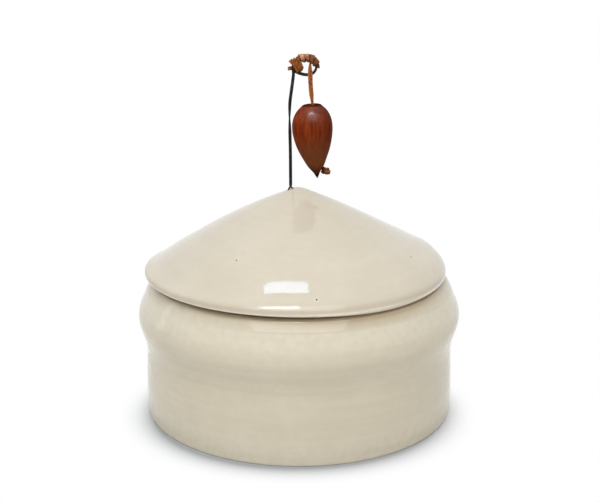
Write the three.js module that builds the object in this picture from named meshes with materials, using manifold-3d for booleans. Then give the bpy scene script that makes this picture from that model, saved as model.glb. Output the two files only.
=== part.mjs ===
// Porcelain lidded jar with a twisted wire handle, a leather lace and a wooden bead.
// Millimetres, +Z up. The origin is the centre of the jar's foot, on the surface it stands on,
// and the jar is seen in its photographed pose looking along +Y.
import * as THREE from 'three';
import { mergeVertices } from 'three/addons/utils/BufferGeometryUtils.js';
import Module from 'manifold-3d';

const wasm = await Module();
wasm.setup();

const { PI } = Math;
const QUARTER = PI / 2;
const degrees = THREE.MathUtils.degToRad;

// Clearances, and the sides and steps that the pieces are drawn with
const gap = 0.3;
const overrun = 1;
const turnedSides = 64;
const beadSides = 32;
const wireSides = 10;
const holeSides = 20;
const knuckleSides = 16;
const knotSides = 8;
const stemSteps = 64;
const legSteps = 16;
const hitchSteps = 20;
const laceSteps = 12;

// Jar
const shoulderRadius = 80;
const shoulderHeight = 48.3;
const waistRadius = 76.6;
const waistHeight = 32.5;
const bellyRadius = 77.2;
const bellyHeight = 9;
const footRound = 1.8;
const footRingWidth = 6;
const footRecess = 1.6;
const floorThickness = 6;
const floorCorner = 10;
const jarWall = 5;
const mouthRadius = 62;
const rimWidth = 5.5;
const rimHeight = 69.2;
const lipRound = 1.5;

// The shoulder's outline, as shares of the step out from waist to shoulder, and of the step in to the rim
const shoulderRiseShares = [[0.25, 0.37], [0.71, 0.67]];
const shoulderFallShares = [[0.056, 0.225], [0.224, 0.464], [0.432, 0.75], [0.72, 0.905]];
const insideFallShares = [[0.07, 0.24], [0.27, 0.5], [0.6, 0.76]];

// Lid. It lies a little left of the jar's axis, in the play that its flange has in the mouth.
const lidOffset = -2.2;
const lidRadius = 74.5;
const lidEdgeRound = 2.4;
const lidLipDrop = 0.9;
const lidPeakHeight = 110.5;
const lidThickness = 6;
const hollowTopRadius = 6.9;
const hollowTopRise = 0.6;
const seatWidth = 11;
const flangePlay = 3;
const flangeWidth = 4;
const flangeDepth = 8;

// The cone's outline from its widest line to its peak, as shares of the lid's radius and rise
const coneShares = [
  [0.989, 0.048], [0.944, 0.118], [0.889, 0.187], [0.805, 0.281], [0.552, 0.539],
  [0.277, 0.797], [0.153, 0.891], [0.0886, 0.944], [0.034, 0.988],
];

// Wire handle: one wire, doubled and twisted, drawn as one bar as thick as the pair
const wireDiameter = 0.8;
const pairDiameter = 2 * wireDiameter;
const stemDepth = -2;
const stemFootX = -4.1;
const forkHeight = 3.2;
const legSpread = 2.1;
const legEndLength = 4;
const legEndDip = 1.6;

// The eye is a long loop with round ends, measured on the bar's centre line
const eyeLength = 11;
const eyeRound = 3.85;
const eyeMiddleX = 2.65;
const eyeEndAngle = degrees(-118);

// The stem's course up to the eye's left end, as shares of its height and of its step to the right
const stemShares = [
  [0.1, -0.02], [0.29, -0.08], [0.46, -0.25], [0.59, -0.35], [0.71, -0.23], [0.8, 0.28], [0.88, 0.67], [0.94, 0.92],
];

// Leather lace
const laceWidth = 2.1;
const laceThickness = 1;
const woundWidth = 1.1;
const woundThickness = 0.85;
const woundTurns = 4;
const woundSteps = 24;
const flatShare = 0.6;
const woundEndAngle = degrees(-10);

// The hitch is a fold of lace laid over the eye's left end: its front end, its fold and its back end,
// each to the right of that end and above it
const hitchFront = [-1.5, 2.3];
const hitchFold = [3, -0.9];
const hitchBack = [-1.7, -1.1];

// The hanging lace starts gathered under the winding, and bends below the eye and again a little lower
const dropX = 5.2;
const gatheredShare = 0.45;
const gatheredRise = 0.65;
const forwardShare = 0.4;
const swingDrop = 1.4;
const linkLength = 4.2;
const linkLean = 0.25;

// Bead
const beadRadius = 9.8;
const beadLength = 35.8;
const beadTilt = degrees(4);
const neckLength = 8.1;
const neckLean = 0.95;
const boreLean = degrees(9.3);
const boreLength = 32.1;
const laceEndInset = 1;
const knotTurn = 1.2;
const knotStrand = 0.8;
const knotAside = 1.1;
const knotDrop = 1.3;
const knotTail = 2.6;
const knotTailRadius = 0.6;

// The eye stands so high that the bead hangs clear of the lid: its tip is this much above the lid's peak
const beadRise = 5.1;
const hangLength = swingDrop + linkLength + neckLength + beadLength;
const eyeHeight = lidPeakHeight + beadRise + hangLength + eyeRound;

// The bead's outline from its top to its tip, as shares of its radius and length
const beadShares = [
  [0.36, 0], [0.6, 0.035], [0.77, 0.088], [0.878, 0.142], [0.969, 0.22], [1, 0.33], [0.944, 0.45],
  [0.8, 0.584], [0.587, 0.718], [0.352, 0.846], [0.161, 0.922],
];

const glaze = new THREE.MeshStandardMaterial({ color: 0xddd3bd, roughness: 0.18, metalness: 0 });
const lidGlaze = new THREE.MeshStandardMaterial({ color: 0xe0d7c3, roughness: 0.18, metalness: 0 });
const blackWire = new THREE.MeshStandardMaterial({ color: 0x23231c, roughness: 0.55, metalness: 0.8 });
const leather = new THREE.MeshStandardMaterial({ color: 0x96501e, roughness: 0.75, metalness: 0 });
const darkLeather = new THREE.MeshStandardMaterial({ color: 0x5f2f16, roughness: 0.75, metalness: 0 });
const wood = new THREE.MeshStandardMaterial({ color: 0x7c2f18, roughness: 0.35, metalness: 0 });

// Solids

/** A closed geometry as a solid that can be joined and cut. */
function solidOf(geometry) {
  const bare = geometry.clone();
  bare.deleteAttribute('normal');
  bare.deleteAttribute('uv');
  const merged = mergeVertices(bare);
  const corners = merged.index.array;
  const kept = [];
  for (let i = 0; i < corners.length; i += 3) {
    const [a, b, c] = corners.slice(i, i + 3);
    if (a !== b && b !== c && c !== a) kept.push(a, b, c);
  }
  const vertProperties = new Float32Array(merged.attributes.position.array);
  return new wasm.Manifold(new wasm.Mesh({ numProp: 3, vertProperties, triVerts: new Uint32Array(kept) }));
}

/** The geometry of a solid, with flat faces. */
function geometryOf(solid) {
  const mesh = solid.getMesh();
  const geometry = new THREE.BufferGeometry();
  geometry.setAttribute('position', new THREE.BufferAttribute(mesh.vertProperties, 3));
  geometry.setIndex(new THREE.BufferAttribute(mesh.triVerts, 1));
  geometry.computeVertexNormals();
  return geometry;
}

const joined = (...geometries) => geometryOf(geometries.map(solidOf).reduce((a, b) => a.add(b)));
const cut = (geometry, ...tools) => geometryOf(tools.map(solidOf).reduce((a, b) => a.subtract(b), solidOf(geometry)));

/** A profile of radius and height turned round the Z axis. */
function turned(profile, sides) {
  return new THREE.LatheGeometry(profile, sides).rotateX(QUARTER);
}

/** A tube of a given section along a curve. */
function tubeAlong(curve, section, steps) {
  return new THREE.ExtrudeGeometry(section, { steps, extrudePath: curve, bevelEnabled: false });
}

/** A round section with a given number of sides. */
function roundSection(radius, sides) {
  const corners = [];
  for (let i = 0; i < sides; i += 1) {
    const angle = (2 * PI * i) / sides;
    corners.push(new THREE.Vector2(radius * Math.cos(angle), radius * Math.sin(angle)));
  }
  return new THREE.Shape(corners);
}

/** The lace's flat section, with its four edges eased: eight sides in all. */
function flatSection(first, second) {
  const ease = Math.min(first, second) / 3;
  const [x, y] = [first / 2, second / 2];
  const quarter = [[x, y - ease], [x - ease, y]];
  const half = [...quarter, ...quarter.map(([a, b]) => [-a, b]).reverse()];
  const whole = [...half, ...half.map(([a, b]) => [-a, -b])];
  return new THREE.Shape(whole.map(([a, b]) => new THREE.Vector2(a, b)));
}

/** A skin over rings of equal count, closed at both ends. */
function skinOver(rings) {
  const count = rings[0].length;
  const positions = rings.flat().flatMap((point) => point.toArray());
  const index = [];
  for (let i = 0; i + 1 < rings.length; i += 1) {
    for (let j = 0; j < count; j += 1) {
      const [a, b] = [i * count + j, i * count + ((j + 1) % count)];
      index.push(a, b, b + count, a, b + count, a + count);
    }
  }
  const last = (rings.length - 1) * count;
  for (let j = 1; j + 1 < count; j += 1) {
    index.push(0, j + 1, j, last, last + j, last + j + 1);
  }
  const geometry = new THREE.BufferGeometry();
  geometry.setAttribute('position', new THREE.Float32BufferAttribute(positions, 3));
  geometry.setIndex(index);
  geometry.computeVertexNormals();
  return geometry;
}

/** Points between two corners of an outline, given as shares of the step from one to the other. */
function between(from, to, shares) {
  return shares.map(([across, up]) => new THREE.Vector2(
    THREE.MathUtils.lerp(from.x, to.x, across),
    THREE.MathUtils.lerp(from.y, to.y, up),
  ));
}

// Jar body

/** The jar's half outline: foot ring, outer wall, rim, inner wall and floor. */
function jarProfile() {
  const footEdge = bellyRadius - footRound;
  const ringInside = footEdge - footRingWidth;
  const waist = new THREE.Vector2(waistRadius, waistHeight);
  const shoulder = new THREE.Vector2(shoulderRadius, shoulderHeight);
  const rim = new THREE.Vector2(mouthRadius + rimWidth, rimHeight);
  const insideShoulder = new THREE.Vector2(shoulderRadius - jarWall, shoulderHeight);
  const insideRim = new THREE.Vector2(mouthRadius, rimHeight - lipRound);
  const insideWaist = new THREE.Vector2(waistRadius - jarWall, waistHeight);
  const cornerTop = new THREE.Vector2(bellyRadius - jarWall, floorThickness + floorCorner);

  const path = new THREE.Path();
  path.moveTo(0, footRecess);
  path.lineTo(ringInside - footRecess, footRecess);
  path.lineTo(ringInside, 0);
  path.lineTo(footEdge, 0);
  path.absarc(footEdge, footRound, footRound, -QUARTER, 0, false);
  path.splineThru([
    new THREE.Vector2(bellyRadius, bellyHeight),
    waist,
    ...between(waist, shoulder, shoulderRiseShares),
    shoulder,
    ...between(shoulder, rim, shoulderFallShares),
    rim,
  ]);
  path.lineTo(mouthRadius + lipRound, rimHeight);
  path.absarc(mouthRadius + lipRound, rimHeight - lipRound, lipRound, QUARTER, PI, false);
  path.splineThru([
    ...between(insideShoulder, insideRim, insideFallShares).reverse(),
    insideShoulder,
    ...between(insideWaist, insideShoulder, shoulderRiseShares).reverse(),
    insideWaist,
    cornerTop,
  ]);
  path.absarc(cornerTop.x - floorCorner, cornerTop.y, floorCorner, 0, -QUARTER, true);
  path.lineTo(0, floorThickness);
  return path.getPoints(2);
}

// Lid

const lidSeat = rimHeight + gap;
const lidLip = lidSeat - lidLipDrop;
const lidWidest = lidLip + lidEdgeRound;
const flangeRadius = mouthRadius - flangePlay;
const lidRim = new THREE.Vector2(lidRadius, lidWidest);
const lidPeak = new THREE.Vector2(0, lidPeakHeight);

/** The cone's outline from rim to peak, coneShares being shares of radius and of rise. */
function coneOutline() {
  const inShares = coneShares.map(([radius, rise]) => [1 - radius, rise]);
  return [...between(lidRim, lidPeak, inShares), lidPeak];
}

/** Height of an outline that runs inwards, at a distance from the lid's own axis. */
function heightOn(outline, radius) {
  const next = outline.findIndex((point) => point.x <= radius);
  const [outer, inner] = [outline[Math.max(next - 1, 0)], outline[next]];
  return THREE.MathUtils.mapLinear(radius, outer.x, inner.x, outer.y, inner.y);
}

const coneHeight = (radius) => heightOn([lidRim, ...coneOutline()], radius);

/** The hollow's outline from the flange to the axis, one lid thickness below the cone. */
function hollowOutline() {
  const flangeInside = flangeRadius - flangeWidth;
  const hollowTop = coneHeight(hollowTopRadius) - lidThickness;
  return [
    new THREE.Vector2(flangeInside, coneHeight(flangeInside) - lidThickness),
    new THREE.Vector2(hollowTopRadius, hollowTop),
    new THREE.Vector2(0, hollowTop + hollowTopRise),
  ];
}

const hollowHeight = (radius) => heightOn(hollowOutline(), radius);

/** The lid's half outline: locating flange, seat, rim, cone and hollow underside. */
function lidProfile() {
  const [hollowEdge, nearAxis, hollowTop] = hollowOutline();
  const flangeInside = hollowEdge.x;
  const flangeEnd = lidSeat - flangeDepth;
  const ease = flangeWidth / 4;
  const lipInside = lidRadius - 2 * lidEdgeRound;

  const path = new THREE.Path();
  path.moveTo(hollowTop.x, hollowTop.y);
  path.lineTo(nearAxis.x, nearAxis.y);
  path.lineTo(hollowEdge.x, hollowEdge.y);
  path.lineTo(flangeInside, flangeEnd + ease);
  path.lineTo(flangeInside + ease, flangeEnd);
  path.lineTo(flangeRadius - ease, flangeEnd);
  path.lineTo(flangeRadius, flangeEnd + ease);
  path.lineTo(flangeRadius, lidSeat);
  path.lineTo(flangeRadius + seatWidth, lidSeat);
  path.lineTo(lipInside + lidEdgeRound / 2, lidLip + lidLipDrop / 4);
  path.absarc(lidRadius - lidEdgeRound, lidWidest, lidEdgeRound, -QUARTER, 0, false);
  path.splineThru(coneOutline());
  return path.getPoints(2);
}

// Wire handle

const stemX = (side) => stemFootX + (side * legSpread) / 2;
const stemFootHeight = coneHeight(Math.abs(stemFootX - lidOffset));
const forkTop = stemFootHeight + forkHeight;
const eyeLeftEnd = new THREE.Vector2(eyeMiddleX - eyeLength / 2, eyeHeight);
const leftRound = new THREE.Vector2(eyeLeftEnd.x + eyeRound, eyeHeight);
const rightRound = new THREE.Vector2(leftRound.x + eyeLength - 2 * eyeRound, eyeHeight);

const inStemPlane = (point) => new THREE.Vector3(point.x, stemDepth, point.y);
const onRound = (centre, angle) => new THREE.Vector2(
  centre.x + eyeRound * Math.cos(angle),
  centre.y + eyeRound * Math.sin(angle),
);

/** Points round one end of the eye, from one angle to another. */
function roundPoints(centre, from, to, count) {
  const points = [];
  for (let i = 0; i < count; i += 1) points.push(onRound(centre, THREE.MathUtils.lerp(from, to, i / (count - 1))));
  return points;
}

/** The doubled wire's centre line: up the stem, over the top of the eye and back below it to the stem. */
function wirePath() {
  const stem = stemShares.map(([up, right]) => new THREE.Vector2(
    THREE.MathUtils.lerp(stemFootX, eyeLeftEnd.x, right),
    THREE.MathUtils.lerp(forkTop, eyeHeight, up),
  ));
  return new THREE.CatmullRomCurve3([
    new THREE.Vector2(stemFootX, forkTop),
    ...stem,
    ...roundPoints(leftRound, PI, QUARTER, 4),
    ...roundPoints(rightRound, QUARTER, -QUARTER, 7),
    ...roundPoints(leftRound, -QUARTER, eyeEndAngle, 2),
  ].map(inStemPlane), false, 'centripetal');
}

/** One leg: from the fork down through its hole, then bent out under the lid. */
function legPath(side) {
  const x = stemX(side);
  const under = hollowHeight(Math.abs(x - lidOffset)) - wireDiameter;
  return new THREE.CatmullRomCurve3([
    new THREE.Vector3(stemFootX + (side * wireDiameter) / 2, stemDepth, forkTop + wireDiameter),
    new THREE.Vector3(stemFootX + (side * (wireDiameter + legSpread)) / 4, stemDepth, forkTop - forkHeight / 3),
    new THREE.Vector3(x, stemDepth, stemFootHeight - wireDiameter),
    new THREE.Vector3(x, stemDepth, (stemFootHeight + under) / 2),
    new THREE.Vector3(x, stemDepth, under),
    new THREE.Vector3(x + side * wireDiameter, stemDepth, under - 2 * wireDiameter),
    new THREE.Vector3(x + side * legEndLength, stemDepth, under - 2 * wireDiameter - legEndDip),
  ], false, 'centripetal');
}

function wireHandle() {
  const wire = roundSection(wireDiameter / 2, wireSides - 2);
  const pair = roundSection(pairDiameter / 2, wireSides);
  return joined(
    tubeAlong(wirePath(), pair, stemSteps),
    ...[-1, 1].map((side) => tubeAlong(legPath(side), wire, legSteps)),
  );
}

/** The hole that one leg passes through. */
function legHole(side) {
  const hole = new THREE.CylinderGeometry(
    wireDiameter / 2 + gap,
    wireDiameter / 2 + gap,
    2 * lidThickness + 2 * overrun,
    holeSides,
  );
  return hole.rotateX(QUARTER).translate(stemX(side), stemDepth, stemFootHeight - lidThickness / 2);
}

function lid() {
  const blank = turned(lidProfile(), turnedSides).translate(lidOffset, 0, 0);
  return cut(blank, legHole(-1), legHole(1));
}

// Leather lace

const woundStraight = rightRound.x - leftRound.x;
const woundLength = woundStraight + (QUARTER - woundEndAngle) * eyeRound;
const woundRadius = pairDiameter / 2 + gap + woundThickness / 2;

/** Place on the eye's upper line, and the outward direction there, at a distance from the left round's top. */
function eyeAt(distance) {
  if (distance < woundStraight) {
    return { place: onRound(leftRound, QUARTER).add(new THREE.Vector2(distance, 0)), angle: QUARTER };
  }
  const angle = QUARTER - (distance - woundStraight) / eyeRound;
  return { place: onRound(rightRound, angle), angle };
}

/** One ring of the winding's six-sided section, at a share of its whole length. */
function woundRing(share) {
  const { place, angle } = eyeAt(share * woundLength);
  const turn = PI + share * woundTurns * 2 * PI;
  const along = new THREE.Vector3(Math.sin(angle), 0, -Math.cos(angle));
  const outward = new THREE.Vector3(Math.cos(angle) * Math.cos(turn), -Math.sin(turn), Math.sin(angle) * Math.cos(turn));
  const centre = inStemPlane(place).addScaledVector(outward, woundRadius);
  const corners = [[1, 0], [flatShare, 1], [-flatShare, 1], [-1, 0], [-flatShare, -1], [flatShare, -1]];
  return corners.map(([wide, thick]) => centre.clone()
    .addScaledVector(along, (wide * woundWidth) / 2)
    .addScaledVector(outward, (thick * woundThickness) / 2));
}

/** A ring moved straight on by the winding's width, away from its neighbour, for a free end. */
function straightEnd(ring, neighbour) {
  const onwards = ring[0].clone().sub(neighbour[0]).setLength(woundWidth);
  return ring.map((corner) => corner.clone().add(onwards));
}

/** The least distance between the corners of rings that lie at least half a turn apart. */
function leastGap(rings) {
  let least = Infinity;
  rings.forEach((ring, i) => rings.slice(i + woundSteps / 2).forEach((other) => {
    for (const a of ring) {
      for (const b of other) least = Math.min(least, a.distanceTo(b));
    }
  }));
  return least;
}

/** The winding round the eye's upper arc, as one unbroken lace. */
function laceWrap() {
  const steps = woundTurns * woundSteps;
  const rings = [];
  for (let i = 0; i <= steps; i += 1) rings.push(woundRing(i / steps));
  rings.unshift(straightEnd(rings[0], rings[1]));
  rings.push(straightEnd(rings.at(-1), rings.at(-2)));
  console.log(`least gap of the winding to itself: ${leastGap(rings).toFixed(2)} mm`);
  return skinOver(rings);
}

// The hanging lace runs in front of the eye's lower arc
const laceDepth = stemDepth - pairDiameter / 2 - gap - laceThickness / 2;
const swingPoint = new THREE.Vector3(dropX, laceDepth, eyeHeight - eyeRound - swingDrop);
const swayPoint = swingPoint.clone().add(new THREE.Vector3(linkLean, 0, -linkLength));
const beadTop = swayPoint.clone().add(new THREE.Vector3(neckLean, 0, -neckLength));
const boreDirection = new THREE.Vector3(Math.sin(boreLean), 0, -Math.cos(boreLean));
const boreEnd = beadTop.clone().addScaledVector(boreDirection, boreLength);

/** From under the winding, forward over the eye's lower arc, to just above the upper bend. */
function laceBridge() {
  const top = eyeHeight + gatheredRise;
  const bottom = swingPoint.z + laceThickness / 2 + gap;
  const overWire = eyeHeight - eyeRound + pairDiameter + gap;
  const route = new THREE.CatmullRomCurve3([
    new THREE.Vector3(dropX, stemDepth, top),
    new THREE.Vector3(dropX, THREE.MathUtils.lerp(stemDepth, laceDepth, forwardShare), (top + overWire) / 2),
    new THREE.Vector3(dropX, laceDepth, overWire),
    new THREE.Vector3(dropX, laceDepth, bottom),
  ], false, 'centripetal');
  const strip = tubeAlong(route, flatSection(laceWidth, laceThickness), laceSteps);
  const corners = strip.attributes.position;
  for (let i = 0; i < corners.count; i += 1) {
    const share = THREE.MathUtils.clamp((corners.getZ(i) - overWire) / (top - overWire), 0, 1);
    const narrowed = THREE.MathUtils.lerp(1, gatheredShare, share);
    corners.setX(i, THREE.MathUtils.lerp(dropX, corners.getX(i), narrowed));
  }
  return strip;
}

/** A short stretch between the two bends, rounded where it swings. */
function laceLink() {
  const end = swayPoint.clone().add(new THREE.Vector3(0, 0, laceWidth / 2 + gap));
  const strip = tubeAlong(new THREE.LineCurve3(swingPoint, end), flatSection(laceThickness, laceWidth), 1);
  const knuckle = new THREE.CylinderGeometry(laceThickness / 2, laceThickness / 2, laceWidth, knuckleSides);
  knuckle.rotateZ(QUARTER).translate(...swingPoint.toArray());
  return joined(strip, knuckle);
}

/** From the lower bend through the bead's slanting bore, almost to the stopper knot. */
function laceDrop() {
  const end = boreEnd.clone().addScaledVector(boreDirection, -laceEndInset);
  const route = new THREE.CatmullRomCurve3([
    swayPoint,
    swayPoint.clone().lerp(beadTop, 0.5),
    beadTop,
    beadTop.clone().lerp(end, 0.5),
    end,
  ], false, 'centripetal');
  const strip = tubeAlong(route, flatSection(laceThickness, laceWidth), laceSteps);
  const knuckle = new THREE.CylinderGeometry(laceWidth / 2, laceWidth / 2, laceThickness, knuckleSides);
  knuckle.translate(...swayPoint.toArray());
  return joined(strip, knuckle);
}

/** The hitch: from its front end across the wire to the fold inside the eye, and back behind the wire. */
function laceHitch() {
  const frontDepth = laceDepth - gap / 2;
  const backDepth = 2 * stemDepth - frontDepth;
  const place = ([right, up], depth) => new THREE.Vector3(eyeLeftEnd.x + right, depth, eyeLeftEnd.y + up);
  const [front, fold, foldBack, back] = [
    place(hitchFront, frontDepth),
    place(hitchFold, frontDepth),
    place(hitchFold, backDepth),
    place(hitchBack, backDepth),
  ];
  const foldTip = fold.clone().lerp(foldBack, 0.5);
  foldTip.addScaledVector(fold.clone().sub(front).normalize(), laceThickness);
  const route = new THREE.CatmullRomCurve3([
    front,
    front.clone().lerp(fold, 0.5),
    fold,
    foldTip,
    foldBack,
    foldBack.clone().lerp(back, 0.5),
    back,
  ], false, 'centripetal');
  return tubeAlong(route, flatSection(laceThickness, laceWidth), hitchSteps);
}

// Bead

/** The bead, turned round its own axis, hung by the middle of its top and bored on a slant. */
function bead() {
  const path = new THREE.Path();
  path.moveTo(0, -beadLength);
  const outline = beadShares.map(([radius, down]) => new THREE.Vector2(radius * beadRadius, -down * beadLength));
  path.splineThru(outline.reverse());
  path.lineTo(0, 0);
  const blank = turned(path.getPoints(1), beadSides);
  blank.rotateY(-beadTilt).translate(...beadTop.toArray());
  const boreRadius = laceWidth / 2 + gap;
  const bore = new THREE.CylinderGeometry(boreRadius, boreRadius, boreLength + 6 * overrun, holeSides);
  bore.rotateX(QUARTER).rotateY(-boreLean);
  bore.translate(...beadTop.clone().lerp(boreEnd, 0.5).toArray());
  return cut(blank, bore);
}

/** The stopper knot beside the bead's tip: two crossing turns and a short cut end. */
function stopperKnot() {
  const centre = boreEnd.clone().add(new THREE.Vector3(knotAside, 0, -knotDrop));
  const turns = [0, 1].map((order) => new THREE.TorusGeometry(knotTurn, knotStrand, knotSides, 2 * knotSides)
    .rotateY(QUARTER * order - boreLean)
    .translate(...centre.toArray()));
  const tail = new THREE.CylinderGeometry(knotTailRadius, knotTailRadius, knotTail, knotSides);
  tail.rotateX(QUARTER).rotateY(-QUARTER / 2);
  tail.translate(centre.x + knotTurn, centre.y, centre.z - knotTurn);
  return joined(...turns, tail);
}

// Assembly

function piece(name, geometry, material) {
  const mesh = new THREE.Mesh(geometry, material);
  mesh.name = name;
  return mesh;
}

const jar = new THREE.Group();
jar.add(piece('jar_body', turned(jarProfile(), turnedSides), glaze));

const lidGroup = new THREE.Group();
lidGroup.add(piece('lid', lid(), lidGlaze));
lidGroup.add(piece('wire_handle', wireHandle(), blackWire));
lidGroup.add(piece('lace_hitch', laceHitch(), leather));
lidGroup.add(piece('lace_wrap', laceWrap(), darkLeather));
lidGroup.add(piece('lace_bridge', laceBridge(), leather));
jar.add(lidGroup);

const pendulum = new THREE.Group();
pendulum.add(piece('lace_link', laceLink(), leather));
pendulum.add(piece('lace_drop', laceDrop(), leather));
pendulum.add(piece('bead', bead(), wood));
pendulum.add(piece('stopper_knot', stopperKnot(), leather));
lidGroup.add(pendulum);

export default jar;
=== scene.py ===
"""Looks of a porcelain lidded jar: glazed clay, a twisted wire handle, a leather lace and a wooden bead.

Shapes are worked out in millimetres in the CAD frame (+Z up, photographed from -Y), and written to Blender
in metres.
"""
import logging
import math
from dataclasses import dataclass
from enum import Enum

import bpy
import numpy as np
from mathutils import Euler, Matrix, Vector
from numpy.typing import NDArray


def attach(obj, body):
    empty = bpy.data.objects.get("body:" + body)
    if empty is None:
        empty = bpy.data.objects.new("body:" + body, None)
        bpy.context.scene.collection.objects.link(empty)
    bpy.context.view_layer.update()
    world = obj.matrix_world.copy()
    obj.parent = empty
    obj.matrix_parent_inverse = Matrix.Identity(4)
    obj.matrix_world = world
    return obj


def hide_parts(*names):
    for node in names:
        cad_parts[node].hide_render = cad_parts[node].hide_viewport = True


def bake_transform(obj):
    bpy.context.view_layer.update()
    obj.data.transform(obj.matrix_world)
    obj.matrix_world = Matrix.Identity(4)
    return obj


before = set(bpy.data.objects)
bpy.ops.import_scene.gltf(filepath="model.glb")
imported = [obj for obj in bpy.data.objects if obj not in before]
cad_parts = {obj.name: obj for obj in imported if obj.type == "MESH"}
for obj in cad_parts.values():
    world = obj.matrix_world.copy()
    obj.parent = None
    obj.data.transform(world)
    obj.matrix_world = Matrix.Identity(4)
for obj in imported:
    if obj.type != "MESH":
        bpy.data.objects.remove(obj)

Array = NDArray[np.float64]
Pair = tuple[float, float]
Point = tuple[float, float, float]
Rgb = tuple[float, float, float]
Outline = tuple[Pair, ...]
Material = bpy.types.Material
Piece = bpy.types.Object
Socket = bpy.types.NodeSocket

log = logging.getLogger("jar")

MM = 0.001
TURN = 2 * math.pi
X_AXIS = np.array([1.0, 0.0, 0.0])
Y_AXIS = np.array([0.0, 1.0, 0.0])
ORIGIN: Point = (0.0, 0.0, 0.0)
EVEN: Point = (1.0, 1.0, 1.0)
CURVE_STEPS = 24
SHARP_EDGE = math.radians(50)


class Body(str, Enum):
    """The rigid bodies of the CAD model."""

    JAR = "jar"
    LID = "lid"
    LINK = "lace_link"
    BEAD = "bead"


# Numbers that fade


def bell(values: Array, middle: float | Array, width: float) -> Array:
    """Gives exp(-((v - middle) / width)^2), which is 1 at the middle and fades to both sides."""
    return np.exp(-(((values - middle) / width) ** 2))


def ramp(values: Array, start: float, length: float) -> Array:
    """Gives (v - start) / length, held between 0 and 1."""
    return np.clip((values - start) / length, 0, 1)


def ripple(count: int, seed: int, waves: int, closed: bool = False) -> Array:
    """Gives a slow random wave of about unit height, the same at each run.

    sum over k of a_k sin(2 pi k t + b_k) / k, a and b drawn from a seeded generator.

    Args:
        count: How many values.
        seed: The generator's seed.
        waves: How many frequencies.
        closed: Whether the wave meets itself.

    Returns:
        The values.
    """
    random = np.random.default_rng(seed)
    t = np.linspace(0, 1, count, endpoint=not closed)
    found = np.zeros(count)
    for k in range(1, waves + 1):
        found += random.normal() / k * np.sin(TURN * k * t + random.uniform(0, TURN))
    return found


# Lines and sections


def smooth_through(points: Array, count: int) -> Array:
    """Runs a smooth line through points and spaces it evenly.

    Between points i and i+1, h being their distance, the line is the cubic Hermite span
    p = (2t^3-3t^2+1) p_i + (t^3-2t^2+t) h m_i + (3t^2-2t^3) p_(i+1) + (t^3-t^2) h m_(i+1),
    with each tangent m the mean of the two neighbouring slopes, weighted by the opposite span.

    Args:
        points: The points to pass through, one row each.
        count: How many points the line gets.

    Returns:
        The line's points, one row each.
    """
    points = np.asarray(points, float)
    spans = np.linalg.norm(np.diff(points, axis=0), axis=1)
    slopes = np.diff(points, axis=0) / spans[:, None]
    tangents = np.vstack([slopes[:1], slopes])
    before, after = spans[:-1, None], spans[1:, None]
    tangents[1:-1] = (slopes[:-1] * after + slopes[1:] * before) / (before + after)
    t = np.linspace(0, 1, CURVE_STEPS, endpoint=False)[None, :, None]
    h = spans[:, None, None]
    p0, p1 = points[:-1, None], points[1:, None]
    m0, m1 = tangents[:-1, None] * h, tangents[1:, None] * h
    fine = (2 * t**3 - 3 * t**2 + 1) * p0 + (t**3 - 2 * t**2 + t) * m0
    fine += (3 * t**2 - 2 * t**3) * p1 + (t**3 - t**2) * m1
    fine = np.vstack([fine.reshape(-1, points.shape[1]), points[-1:]])
    return spaced(fine, count)


def lengths_along(line: Array) -> Array:
    """Gives how far along a line each of its points lies."""
    steps = np.linalg.norm(np.diff(line, axis=0), axis=1)
    return np.concatenate([[0], np.cumsum(steps)])


def spaced(line: Array, count: int) -> Array:
    """Spaces a line's points evenly along its length.

    Args:
        line: The line's points.
        count: How many points it gets.

    Returns:
        The new points.
    """
    length = lengths_along(line)
    at = np.linspace(0, length[-1], count)
    return np.stack([np.interp(at, length, line[:, k]) for k in range(line.shape[1])], axis=1)


def corner_round(before: Pair, corner: Pair, after: Pair, count: int = 7) -> Array:
    """Rounds a corner with a quadratic arc: p = (1-t)^2 before + 2t(1-t) corner + t^2 after.

    Args:
        before: Where the arc starts.
        corner: The sharp corner that it rounds.
        after: Where it ends.
        count: How many points it has.

    Returns:
        The arc's points.
    """
    t = np.linspace(0, 1, count)[:, None]
    b, c, a = (np.array(point, float) for point in (before, corner, after))
    return (1 - t) ** 2 * b + 2 * t * (1 - t) * c + t**2 * a


def unit(vectors: Array) -> Array:
    """Scales vectors to length 1."""
    return vectors / np.linalg.norm(vectors, axis=-1, keepdims=True)


def tangents_of(line: Array) -> Array:
    """Gives the direction of a line at each of its points."""
    return unit(np.gradient(line, axis=0))


def round_section(radius: float, sides: int) -> Array:
    """Gives a circle's points as (side, depth) pairs."""
    angle = np.linspace(0, TURN, sides, endpoint=False)
    return radius * np.stack([np.cos(angle), np.sin(angle)], axis=1)


def lace_angles(corners: int) -> Array:
    """Gives the angles of a lace section's corners, the first half a step from its long side."""
    return np.linspace(0, TURN, corners, endpoint=False) + math.pi / corners


def lace_section(width: float, thickness: float, power: float = 0.45, corners: int = 20) -> Array:
    """Gives a flat lace's section, a superellipse with its long side across.

    x = w/2 sign(cos a) |cos a|^p, y = t/2 sign(sin a) |sin a|^p.

    Args:
        width: The lace's width.
        thickness: Its thickness.
        power: How square the section is, p, from 1 for an ellipse down to 0 for a rectangle.
        corners: How many points the outline has.

    Returns:
        The outline as (side, depth) pairs.
    """
    c, s = np.cos(lace_angles(corners)), np.sin(lace_angles(corners))
    x = width / 2 * np.sign(c) * abs(c) ** power
    y = thickness / 2 * np.sign(s) * abs(s) ** power
    return np.stack([x, y], axis=1)


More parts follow.
